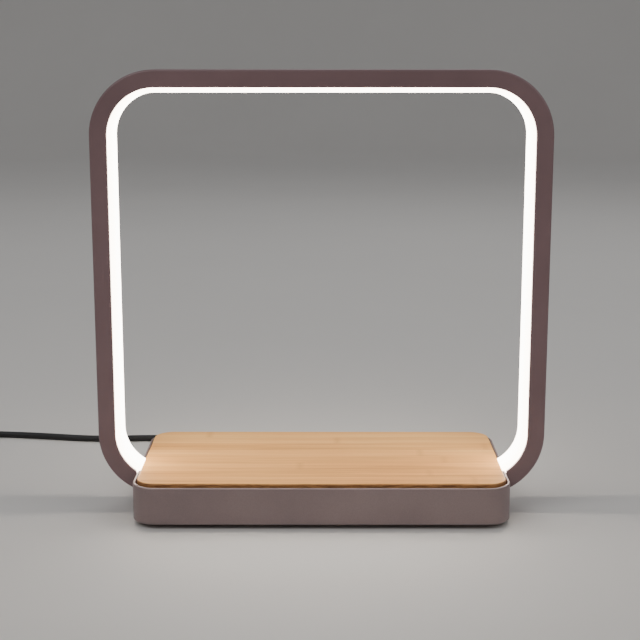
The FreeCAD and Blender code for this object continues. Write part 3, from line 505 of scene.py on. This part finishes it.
def dressNodes():
    slots = {part["node"]: part["material_slot"] for part in frame["record"]["subparts"]}
    for name, obj in frame["nodes"].items():
        for slot in obj.material_slots:
            slot.material = finish(slotFinishes[slots[name]])


# mesh helpers: an outline is drawn flat in millimetres, swept through a profile of insets and levels
# along Z, then stood up where it belongs

meshSetup = {
    "merge": 0.0005,
    "same": 0.001,             # closer than this, two places are one
    "drumSegments": 40,
    "bend": 32,                # degrees; sharper edges stay crisp
}


def outlineOf(width, height, corner, middle=0.0, segments=14):
    return {"coreX": width / 2 - corner, "coreY": height / 2 - corner, "corner": corner, "middle": middle,
            "segments": segments}


def roundOutline(radius, segments=40):
    return {"coreX": 0.0, "coreY": 0.0, "corner": radius, "middle": 0.0, "segments": segments}


def cornerOf(outline, point):
    # nearest point of the rectangle between the middles of the corner arcs
    x = min(max(point.x, -outline["coreX"]), outline["coreX"])
    y = min(max(point.y - outline["middle"], -outline["coreY"]), outline["coreY"]) + outline["middle"]
    return Vector((x, y, point.z))


def firstLoop(bm, outline, inset, level):
    reach = outline["corner"] - inset
    if outline["coreX"] == 0.0:
        rim = bmesh.ops.create_circle(bm, cap_ends=False, segments=outline["segments"], radius=reach)["verts"]
        bmesh.ops.translate(bm, vec=(0, 0, level), verts=rim)
        return list(bm.edges)
    sheet = bmesh.ops.create_grid(bm, x_segments=1, y_segments=1, size=0.5)["verts"]
    bmesh.ops.scale(bm, vec=(2 * (outline["coreX"] + reach), 2 * (outline["coreY"] + reach), 1), verts=sheet)
    bmesh.ops.translate(bm, vec=(0, outline["middle"], level), verts=sheet)
    bmesh.ops.bevel(bm, geom=sheet, offset=reach, segments=outline["segments"], profile=0.5,
                    affect="VERTICES", material=-1)
    bmesh.ops.delete(bm, geom=list(bm.faces), context="FACES_ONLY")
    return list(bm.edges)


def sweepOutline(bm, outline, profile, closed=False):
    # extrude the outline from each step of the profile to the next; a closed profile ends where it began
    edges = firstLoop(bm, outline, *profile[0])
    steps = profile[1:]
    if closed:
        steps = steps + [profile[0]]
    else:
        bmesh.ops.edgeloop_fill(bm, edges=edges)
    for inset, level in steps:
        made = bmesh.ops.extrude_edge_only(bm, edges=edges)["geom"]
        moved = set(part for part in made if isinstance(part, bmesh.types.BMVert))
        edges = [part for part in made if isinstance(part, bmesh.types.BMEdge) and set(part.verts) <= moved]
        for vert in moved:
            middle = cornerOf(outline, vert.co)
            out = (vert.co - middle).normalized()
            vert.co = middle + out * (outline["corner"] - inset)
            vert.co.z = level
    if closed:
        bmesh.ops.remove_doubles(bm, verts=bm.verts, dist=meshSetup["same"])
    else:
        bmesh.ops.edgeloop_fill(bm, edges=edges)


def softenLoops(bm, outline, places, radius, segments):
    # round the swept edges that lie at the given insets and levels
    def isAt(vert, inset, level):
        reach = (vert.co - cornerOf(outline, vert.co)).length
        return max(abs(vert.co.z - level), abs(outline["corner"] - reach - inset)) < meshSetup["same"]

    edges = [edge for edge in bm.edges
             if any(all(isAt(vert, *place) for vert in edge.verts) for place in places)]
    bmesh.ops.bevel(bm, geom=edges, offset=radius, segments=segments, profile=0.5, affect="EDGES",
                    material=-1)


def addBox(bm, low, high):
    size = [b - a for a, b in zip(low, high)]
    middle = [(a + b) / 2 for a, b in zip(low, high)]
    cube = bmesh.ops.create_cube(bm, size=1)["verts"]
    bmesh.ops.scale(bm, vec=size, verts=cube)
    bmesh.ops.translate(bm, vec=middle, verts=cube)


def addDrum(bm, radius, farRadius, length, place, direction):
    # closed round solid whose near end is at place
    way = Vector(direction).normalized()
    turn = way.to_track_quat("Z", "Y").to_matrix().to_4x4()
    matrix = Matrix.Translation(Vector(place) + way * length / 2) @ turn
    bmesh.ops.create_cone(bm, cap_ends=True, segments=meshSetup["drumSegments"], radius1=radius,
                          radius2=farRadius, depth=length, matrix=matrix)


def standUp(bm, place, direction):
    # turn the swept shape's own Z to a direction, and its Y upright
    way = Vector(direction).normalized()
    up = Vector((0, 0, 1))
    side = up.cross(way)
    matrix = Matrix((side, up, way)).transposed().to_4x4()
    bmesh.ops.transform(bm, matrix=Matrix.Translation(Vector(place)) @ matrix, verts=bm.verts)


def join(target, source):
    # add one bmesh to another through a mesh
    mesh = bpy.data.meshes.new("joined")
    source.to_mesh(mesh)
    source.free()
    target.from_mesh(mesh)
    bpy.data.meshes.remove(mesh)


def linkMesh(name, bm):
    mesh = bpy.data.meshes.new(name)
    bm.to_mesh(mesh)
    bm.free()
    obj = bpy.data.objects.new(name, mesh)
    bpy.context.collection.objects.link(obj)
    return obj


def carve(obj, cutterMesh):
    # take the cutter's closed shapes out of the piece, and keep the result as its mesh
    bmesh.ops.recalc_face_normals(cutterMesh, faces=cutterMesh.faces)
    cutter = linkMesh("cutter", cutterMesh)
    modifier = obj.modifiers.new("cut", "BOOLEAN")
    modifier.operation = "DIFFERENCE"
    modifier.solver = "EXACT"
    modifier.object = cutter
    depsgraph = bpy.context.evaluated_depsgraph_get()
    result = bpy.data.meshes.new_from_object(obj.evaluated_get(depsgraph))
    obj.modifiers.clear()
    obj.data = result
    bpy.data.objects.remove(cutter)


def finishPiece(name, bm, material, replaced, body="pad", cutters=()):
    bmesh.ops.remove_doubles(bm, verts=bm.verts, dist=meshSetup["merge"])
    bmesh.ops.recalc_face_normals(bm, faces=bm.faces)
    obj = linkMesh(name, bm)
    for cutter in cutters:
        carve(obj, cutter)
    obj.data.transform(Matrix.Scale(mm, 4))
    obj.data.materials.clear()
    obj.data.materials.append(finish(material))
    obj.data.shade_smooth()
    obj.data.set_sharp_from_angle(angle=math.radians(meshSetup["bend"]))
    weighted = obj.modifiers.new("even shading", "WEIGHTED_NORMAL")
    weighted.keep_sharp = True
    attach(obj, body)
    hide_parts(*replaced)
    print(name, len(obj.data.polygons), "faces")
    return obj


# cable plugs and strain reliefs

plugSetup = {
    "height": 8.23,            # the plug's middle above the table
    "mouth": 44.3,
    "near": {"width": 12.2, "thickness": 6.4, "corner": 2.8, "length": 16.0,
             "grooves": (4.6, 6.4, 8.2, 10.0)},
    "far": {"width": 15.6, "thickness": 7.6, "corner": 2.2, "length": 22.0,
            "grooves": (5.5, 7.5, 9.5, 11.5, 13.5)},
    "cornerSteps": 8,
    "frontEnd": ((0.7, 0.0), (0.2, 0.2), (0.0, 0.7)),      # insets, and distances from that end
    "rearEnd": ((0.0, 1.6), (0.25, 0.6), (0.9, 0.0)),
    "grooveDepth": 0.3,
    "grooveMouth": 0.5,        # half widths of a groove
    "grooveFloor": 0.25,
    "reliefLength": 8.0,
    "reliefRadius": 2.7,
    "cordGrip": 2.0,
    "ribs": 5,
    "ribSteps": ((0.0, 0.0), (0.62, 0.0), (0.7, 0.35), (0.92, 0.35)),      # shares of a pitch, and sinks
}


def gripBody(name, shape, place, direction, replaced):
    # overmoulded plug body with soft ends and finger grooves
    plug = plugSetup
    sink, mouth, floor = plug["grooveDepth"], plug["grooveMouth"], plug["grooveFloor"]
    profile = list(plug["frontEnd"])
    for level in shape["grooves"]:
        profile += [(0.0, level - mouth), (sink, level - floor), (sink, level + floor), (0.0, level + mouth)]
    profile += [(inset, shape["length"] - back) for inset, back in plug["rearEnd"]]
    bm = bmesh.new()
    outline = outlineOf(shape["width"], shape["thickness"], shape["corner"], segments=plug["cornerSteps"])
    sweepOutline(bm, outline, profile)
    standUp(bm, place, direction)
    return finishPiece(name, bm, "plugGrip", replaced)


def reliefSleeve(name, first, last, place, direction, replaced):
    # tapered sleeve with a rib between each pair of slits
    count, length = plugSetup["ribs"], plugSetup["reliefLength"]
    profile = []
    for index in range(count):
        for share, sink in plugSetup["ribSteps"]:
            if index < count - 1 or not sink:
                level = (index + share) * length / count
                profile.append(((first - last) * level / length + sink, level))
    profile.append((first - last, length))
    bm = bmesh.new()
    sweepOutline(bm, roundOutline(first), profile)
    standUp(bm, place, direction)
    return finishPiece(name, bm, "plugGrip", replaced)


def makePlugs(end, run):
    # a plug and its sleeve behind the base, and the same past the end of the cord
    plug, back = plugSetup, (0, 1, 0)
    mouth, rear = plug["mouth"], plug["mouth"] + plug["near"]["length"]
    wide, narrow = plug["reliefRadius"], plug["cordGrip"]
    return [
        gripBody("usbCPlugGrip", plug["near"], (0, mouth, plug["height"]), back, ["usb_c_plug"]),
        reliefSleeve("usbCSleeve", wide, narrow, (0, rear, plug["height"]), back, ["usb_c_strain_relief"]),
        reliefSleeve("usbASleeve", narrow, wide, end, run, ["usb_a_strain_relief"]),
        gripBody("usbAPlugGrip", plug["far"], end + run * plug["reliefLength"], run, ["usb_a_plug"]),
    ]


# the cord

cordSetup = {
    "radius": 1.7,
    "route": [                 # from the strain relief behind the base to the coil, millimetres
        (0, 68.3, 8.23), (0, 78.7, 8.23), (-4.6, 88.1, 5.6), (-15.5, 95, 2.7), (-34, 96.6, 1.7),
        (-60, 94.5, 1.7), (-92, 96.2, 1.7), (-122, 93.2, 1.7), (-151, 99.2, 1.7),
        (-172, 102.4, 1.7), (-192.4, 104.2, 1.7),
    ],
    "coilCentre": (-204.18, 84.46),
    "coilRadius": 19.0,
    "coilTurns": 6,
    "firstLane": 300,          # degrees round the bundle's empty middle, and from lane to lane
    "laneStep": 60,
    "pointsPerTurn": 16,
    "laneChange": 48.0,        # degrees over which the cord moves to its next lane
    "enterAngle": 85.0,
    "leaveAngle": 180.0,
    "tail": [                  # steps from the coil's left side to the far plug
        (0, -7, 1.9), (1.5, -22, 1.7), (5.5, -36, 2.3), (12, -48.5, 3.8), (19, -60, 3.8),
    ],
    "lineSteps": 6,
    "tubeSteps": 5,
    "merge": 0.000001,         # metres
}


def coilLanes():
    # the lanes lie round an empty middle, each a diameter from the next, low outside lane first
    cord = cordSetup
    step = 2 * cord["radius"]
    angles = [math.radians(cord["firstLane"] - cord["laneStep"] * turn) for turn in range(cord["coilTurns"])]
    return [(step * math.cos(angle), step * math.sin(angle)) for angle in angles]


def coilPoints():
    cord = cordSetup
    lanes = coilLanes()
    step = 360 / cord["pointsPerTurn"]
    change = cord["laneChange"]
    swing = cord["leaveAngle"] - cord["enterAngle"] + 360 * (len(lanes) - 1)
    count = round(swing / step)
    centreZ = cord["radius"] * (1 + math.sqrt(3))
    grow = 1 / math.cos(math.radians(step / 2))
    points = []
    for index in range(1, count):
        turned = swing * index / count
        lane = 0
        start = 360 - change
        while lane < len(lanes) - 1 and turned >= start + change:
            lane += 1
            start += 360 - change
        share = 0.0
        if lane < len(lanes) - 1 and turned > start:
            share = (turned - start) / change
            share = share * share * (3 - 2 * share)
        here = lanes[lane]
        after = lanes[min(lane + 1, len(lanes) - 1)]
        out = here[0] + (after[0] - here[0]) * share
        up = here[1] + (after[1] - here[1]) * share
        angle = math.radians(cord["enterAngle"] + turned)
        reach = (cord["coilRadius"] + out) * grow
        x = cord["coilCentre"][0] + reach * math.cos(angle)
        y = cord["coilCentre"][1] + reach * math.sin(angle)
        points.append((x, y, centreZ + up))
    return points


def cordLine(points):
    # a NURBS curve through millimetre points, as an object outside the scene
    curve = bpy.data.curves.new("cordLine", "CURVE")
    curve.dimensions = "3D"
    curve.resolution_u = cordSetup["lineSteps"]
    spline = curve.splines.new("NURBS")
    spline.points.add(len(points) - 1)
    for point, (x, y, z) in zip(spline.points, points):
        point.co = (x * mm, y * mm, z * mm, 1)
    spline.order_u = 3
    spline.use_endpoint_u = True
    return bpy.data.objects.new("cordLine", curve)


def makeCord():
    # the line through the route, the coil and the tail, then a mesh tube along it
    radius = cordSetup["radius"]
    centreX, centreY = cordSetup["coilCentre"]
    side = centreX - cordSetup["coilRadius"] - radius
    tail = [(side + x, centreY + y, z) for x, y, z in cordSetup["tail"]]
    guide = cordLine(cordSetup["route"] + coilPoints() + tail)
    bare = bpy.data.meshes.new_from_object(guide)
    guide.data.bevel_depth = radius * mm
    guide.data.bevel_resolution = cordSetup["tubeSteps"]
    guide.data.use_fill_caps = True
    bm = bmesh.new()
    bm.from_mesh(bpy.data.meshes.new_from_object(guide))
    bmesh.ops.remove_doubles(bm, verts=bm.verts, dist=cordSetup["merge"])
    bmesh.ops.recalc_face_normals(bm, faces=bm.faces)
    bpy.data.objects.remove(guide)
    cord = linkMesh("chargingCord", bm)
    cord.data.materials.clear()
    cord.data.materials.append(finish("cableJacket"))
    cord.data.shade_smooth()
    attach(cord, "pad")
    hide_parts("cable", "cable_hank", "cable_tail")
    end = Vector(tail[-1])
    plugs = makePlugs(end, (end - Vector(tail[-2])).normalized())


# base

baseSetup = {
    "width": 170.0,
    "depth": 88.0,
    "corner": 11.0,
    "low": 2.0,
    "top": 19.1,
    "rim": 1.2,
    "rimRound": (0.8, 5),      # each round: its radius and its steps
    "lipRound": (0.2, 2),
    "wall": 2.0,
    "deckTop": 15.8,
    "deckUnder": 14.2,
    "windowRadius": 29.0,
    "portHeight": 8.23,
    "portSize": (9.34, 3.66),
    "portFlat": 0.05,          # keeps a short straight run between the port's rounded corners
    "portSteps": 10,
    "portFlare": 0.3,
    "buttonHole": 3.75,
    "holeFlare": 0.35,
    "slot": (-16.9, -2.1, 8.6, 17.0),  # front, rear, low and high of the strap's way through the side
    "cut": 4.0,                # depth of a cutter, more than a wall
    "past": 1.0,               # how far a cutter stands out of the wall
    "skin": 0.01,              # lifts a cutter's face off the wall's
    "plateInset": 2.0,
    "plateLow": 16.1,
    "plateTop": 20.7,
    "plateRound": (0.6, 6),
    "plateUnderRound": (0.3, 2),
}


def baseOutline():
    return outlineOf(baseSetup["width"], baseSetup["depth"], baseSetup["corner"])


def portCutter():
    # the socket's mouth through the rear wall, wider at the outer face
    base, inward = baseSetup, (0, -1, 0)
    width, height = base["portSize"]
    flare = base["portFlare"]
    port = bmesh.new()
    outline = outlineOf(width, height, height / 2 - base["portFlat"], segments=base["portSteps"])
    sweepOutline(port, outline, [(-flare, 0.0), (0.0, flare), (0.0, base["cut"])])
    standUp(port, (0, base["depth"] / 2 + base["skin"], base["portHeight"]), inward)
    return port


def makeCasing():
    base, inward = baseSetup, (0, -1, 0)
    bm = bmesh.new()
    rim, wall, top, low = base["rim"], base["wall"], base["top"], base["low"]
    profile = [(rim, base["deckTop"]), (rim, top), (0.0, top), (0.0, low), (wall, low),
               (wall, base["deckUnder"])]
    outline = baseOutline()
    sweepOutline(bm, outline, profile)
    softenLoops(bm, outline, profile[2:4], *base["rimRound"])
    softenLoops(bm, outline, [profile[1], profile[4]], *base["lipRound"])
    rear, past, cut = base["depth"] / 2, base["past"], base["cut"]
    window, hole, flare = base["windowRadius"], base["buttonHole"], base["holeFlare"]
    x, height = buttonSetup["x"], buttonSetup["height"]
    cutter = bmesh.new()
    addDrum(cutter, window, window, cut, (0, 0, base["deckUnder"] - past), (0, 0, 1))
    addDrum(cutter, hole + flare, hole, flare, (x, rear + base["skin"], height), inward)
    bore = bmesh.new()
    addDrum(bore, hole, hole, cut, (x, rear + past, height), inward)
    join(cutter, portCutter())
    front, back, slotLow, slotHigh = base["slot"]
    for side in (-1, 1):
        far = side * (base["width"] / 2 + past)
        ends = sorted((far, far - side * cut))
        addBox(cutter, (ends[0], front, slotLow), (ends[1], back, slotHigh))
    finishPiece("casingShell", bm, "casingPlastic", ["base_shell"], cutters=(cutter, bore))


def makeTopPlate():
    base = baseSetup
    bm = bmesh.new()
    profile = [(base["plateInset"], base["plateLow"]), (base["plateInset"], base["plateTop"])]
    outline = baseOutline()
    sweepOutline(bm, outline, profile)
    softenLoops(bm, outline, [profile[1]], *base["plateRound"])
    softenLoops(bm, outline, [profile[0]], *base["plateUnderRound"])
    finishPiece("bambooBoard", bm, "bambooWood", ["bamboo_plate"])


# lit ring

ringSetup = {
    "half": 102.1,
    "low": 8.0,
    "top": 201.3,
    "corner": 29.0,
    "depth": 20.0,
    "band": 7.8,
    "edge": (1.0, 6),          # each round: its radius and its steps
    "innerEdge": (0.35, 3),
    "arcSteps": 26,
    "side": 1.6,
    "web": 4.4,
    "chamber": (1.2, 3.4),     # the hollow behind the web: insets of its two faces
    "baseClear": 85.1,
    "plateClear": 83.1,
    "cutHeight": 37.0,
    "rimClear": 19.25,
    "plateTopClear": 20.85,
    "seat": 6.2,
    "face": 9.95,
    "diffuserSide": 1.8,
    "diffuserRound": (2.0, 7),
    "past": 5.0,               # how far the cutters reach past the ring
}


def ringOutline():
    ring = ringSetup
    return outlineOf(2 * ring["half"], ring["top"] - ring["low"], ring["corner"],
                     middle=(ring["top"] + ring["low"]) / 2, segments=ring["arcSteps"])


def belowCutter(reach, height, past):
    # a block that clears the ring's lower run out of the base, up to a height
    cutter = bmesh.new()
    addBox(cutter, (-reach, -ringSetup["depth"] - past, -past), (reach, past, height))
    return cutter


def makeRing():
    ring = ringSetup
    depth, side, band, web = ring["depth"], ring["side"], ring["band"], ring["web"]
    bm = bmesh.new()
    profile = [(0, 0), (0, depth), (band, depth), (band, depth - side), (web, depth - side), (web, side),
               (band, side), (band, 0)]
    outline = ringOutline()
    sweepOutline(bm, outline, profile, closed=True)
    softenLoops(bm, outline, profile[:2], *ring["edge"])
    softenLoops(bm, outline, [profile[2], profile[7]], *ring["innerEdge"])
    standUp(bm, (0, 0, 0), (0, -1, 0))
    cutter = belowCutter(ring["baseClear"], ring["cutHeight"], ring["past"])
    chamber = bmesh.new()
    inner, outer = ring["chamber"]
    hollow = [(inner, side), (inner, depth - side), (outer, depth - side), (outer, side)]
    sweepOutline(chamber, outline, hollow, closed=True)
    standUp(chamber, (0, 0, 0), (0, -1, 0))
    finishPiece("ringFrame", bm, "ringPaint", ["ring_channel"], cutters=(chamber, cutter))


def makeDiffuser():
    ring = ringSetup
    side = ring["diffuserSide"]
    far = ring["depth"] - side
    bm = bmesh.new()
    profile = [(ring["seat"], side), (ring["seat"], far), (ring["face"], far), (ring["face"], side)]
    outline = ringOutline()
    sweepOutline(bm, outline, profile, closed=True)
    softenLoops(bm, outline, profile[2:], *ring["diffuserRound"])
    standUp(bm, (0, 0, 0), (0, -1, 0))
    cutter = belowCutter(ring["baseClear"], ring["rimClear"], ring["past"])
    # reaches a millimetre further, so that no two cut faces lie in one plane
    over = belowCutter(ring["plateClear"], ring["plateTopClear"], ring["past"] + 1)
    finishPiece("ringDiffuser", bm, "diffuserGlow", ["ring_diffuser"], cutters=(cutter, over))


# cover screws

screwSetup = {
    "places": ((52, 36.4), (-52, 36.4), (-52, -36.4), (52, -36.4)),
    "head": 2.6,
    "low": 2.0,
    "headHeight": 1.3,
    "shank": 1.4,
    "length": 8.0,
    "recess": (1.5, 0.36, 0.8),        # half length, half width and depth of the cross
    "past": 1.0,               # how far its cutters stand out below
    "headEdge": ((0.45, 0.0), (0.12, 0.1), (0.0, 0.4)),    # insets, and heights above its face
    "point": (0.5, 0.8),       # how far the end narrows, and over what length
    "steps": 32,
}


def makeCoverScrews():
    # turned heads with a cross recess, joined in one piece
    screw = screwSetup
    low = screw["low"]
    under = low + screw["headHeight"]
    neck = screw["head"] - screw["shank"]
    tip = under + screw["length"]
    narrow, taper = screw["point"]
    profile = [(inset, low + height) for inset, height in screw["headEdge"]]
    profile += [(0.0, under), (neck, under), (neck, tip - taper), (neck + narrow, tip)]
    bm = bmesh.new()
    cutter = bmesh.new()
    bar = bmesh.new()
    reach, half, depth = screw["recess"]
    past = screw["past"]
    for x, y in screw["places"]:
        one = bmesh.new()
        sweepOutline(one, roundOutline(screw["head"], screw["steps"]), profile)
        bmesh.ops.translate(one, vec=(x, y, 0), verts=one.verts)
        join(bm, one)
        addBox(cutter, (x - reach, y - half, low - past), (x + reach, y + half, low + depth))
        addBox(bar, (x - half, y - reach, low - past), (x + half, y + reach, low + depth))
    finishPiece("coverScrews", bm, "screwSteel", ["cover_screws"], cutters=(cutter, bar))


# power button

buttonSetup = {
    "x": 20.0,
    "height": 9.1,
    "face": 43.9,
    "back": 41.75,
    "flangeBack": 40.85,
    "radius": 3.5,
    "flange": 4.4,
    "round": 0.4,
    "roundMiddle": (0.35, 0.2),        # a point on the round's way, in shares of it
    "dish": 0.15,
    "dishEdge": ((1.6, 1.0), (1.1, 0.6), (0.8, 0.0)),      # insets, and shares of the dish's depth
}


def makeButton():
    # turned cap with a shallow dish and a flange behind the wall; its levels are counted back from its face
    button = buttonSetup
    bm = bmesh.new()
    cap = button["face"] - button["back"]
    flange = button["face"] - button["flangeBack"]
    radius, soft = button["radius"], button["round"]
    profile = [(inset, button["dish"] * share) for inset, share in button["dishEdge"]]
    across, along = button["roundMiddle"]
    wide = radius - button["flange"]
    profile += [(soft, 0.0), (soft * across, soft * along), (0.0, soft),
                (0.0, cap), (wide, cap), (wide, flange)]
    sweepOutline(bm, roundOutline(radius), profile)
    standUp(bm, (button["x"], button["face"], button["height"]), (0, -1, 0))
    finishPiece("lampButton", bm, "buttonCap", ["power_button"], body="button")


# room

roomSetup = {
    "floor": (224, 221, 217),
    "floorRadius": 2.2,
    "bendRadius": 1.2,
    "wallTop": 2.4,
    "bendSteps": 20,
    "steps": 64,
    "grain": 3,
    "darkShare": 0.97,
    "roughness": 0.85,
    "merge": 0.0001,
    "target": (0, 0, 0.08),    # what the lights point at
    "lights": (                # name, place, size, power
        ("keyLight", (-0.7, -0.7, 1.1), 0.9, 4.2),
        ("fillLight", (0.9, -0.5, 0.7), 0.8, 1.7),
        ("backLight", (0.2, 0.9, 1.0), 0.8, 2.2),
    ),
    "worldLight": 0.36,
    "worldColor": (0.94, 0.96, 1.0, 1),
}


def makeSweep():
    # round floor that bends up into a plain wall on every side
    room = roomSetup
    bm = bmesh.new()
    radius, bend = room["floorRadius"], room["bendRadius"]
    line = [bm.verts.new((0, 0, 0)), bm.verts.new((radius, 0, 0))]
    bm.edges.new(line)
    turned = bmesh.ops.spin(bm, geom=[line[1]], cent=(radius, 0, bend), axis=(0, -1, 0),
                            angle=math.radians(90), steps=room["bendSteps"])["geom_last"]
    foot = [part for part in turned if isinstance(part, bmesh.types.BMVert)]
    rise = bmesh.ops.extrude_vert_indiv(bm, verts=foot)["verts"]
    bmesh.ops.translate(bm, vec=(0, 0, room["wallTop"] - bend), verts=rise)
    bmesh.ops.spin(bm, geom=bm.verts[:] + bm.edges[:], cent=(0, 0, 0), axis=(0, 0, 1),
                   angle=math.radians(360), steps=room["steps"], use_merge=True)
    bmesh.ops.remove_doubles(bm, verts=bm.verts, dist=room["merge"])
    bmesh.ops.recalc_face_normals(bm, faces=bm.faces)
    sweep = linkMesh("studioSweep", bm)
    sweep.data.shade_smooth()
    material, tree, shader = newMaterial("sweepPaper")
    paper = addNoise(tree, objectCoords(tree), room["grain"], 4)
    light = toLinear(*room["floor"])
    dark = tuple(room["darkShare"] * value for value in light)
    tree.links.new(addRamp(tree, paper, [(0.3, dark), (0.7, light)]), shader.inputs["Base Color"])
    shader.inputs["Roughness"].default_value = room["roughness"]
    sweep.data.materials.append(material)


def makeLights():
    room = roomSetup
    world = bpy.data.worlds.new("studioWorld")
    world.use_nodes = True
    background = world.node_tree.nodes["Background"]
    background.inputs["Color"].default_value = room["worldColor"]
    background.inputs["Strength"].default_value = room["worldLight"]
    bpy.context.scene.world = world
    for name, place, size, power in room["lights"]:
        data = bpy.data.lights.new(name, "AREA")
        data.size = size
        data.energy = power
        light = bpy.data.objects.new(name, data)
        light.location = place
        way = Vector(room["target"]) - Vector(place)
        light.rotation_euler = way.to_track_quat("-Z", "Y").to_euler()
        bpy.context.collection.objects.link(light)


makeCamera()
makeCord()
print("camera and cord made")
makeCasing()
makeTopPlate()
makeRing()
makeDiffuser()
makeButton()
makeCoverScrews()
print("pieces made")
dressNodes()
makeSweep()
makeLights()
print("room made")
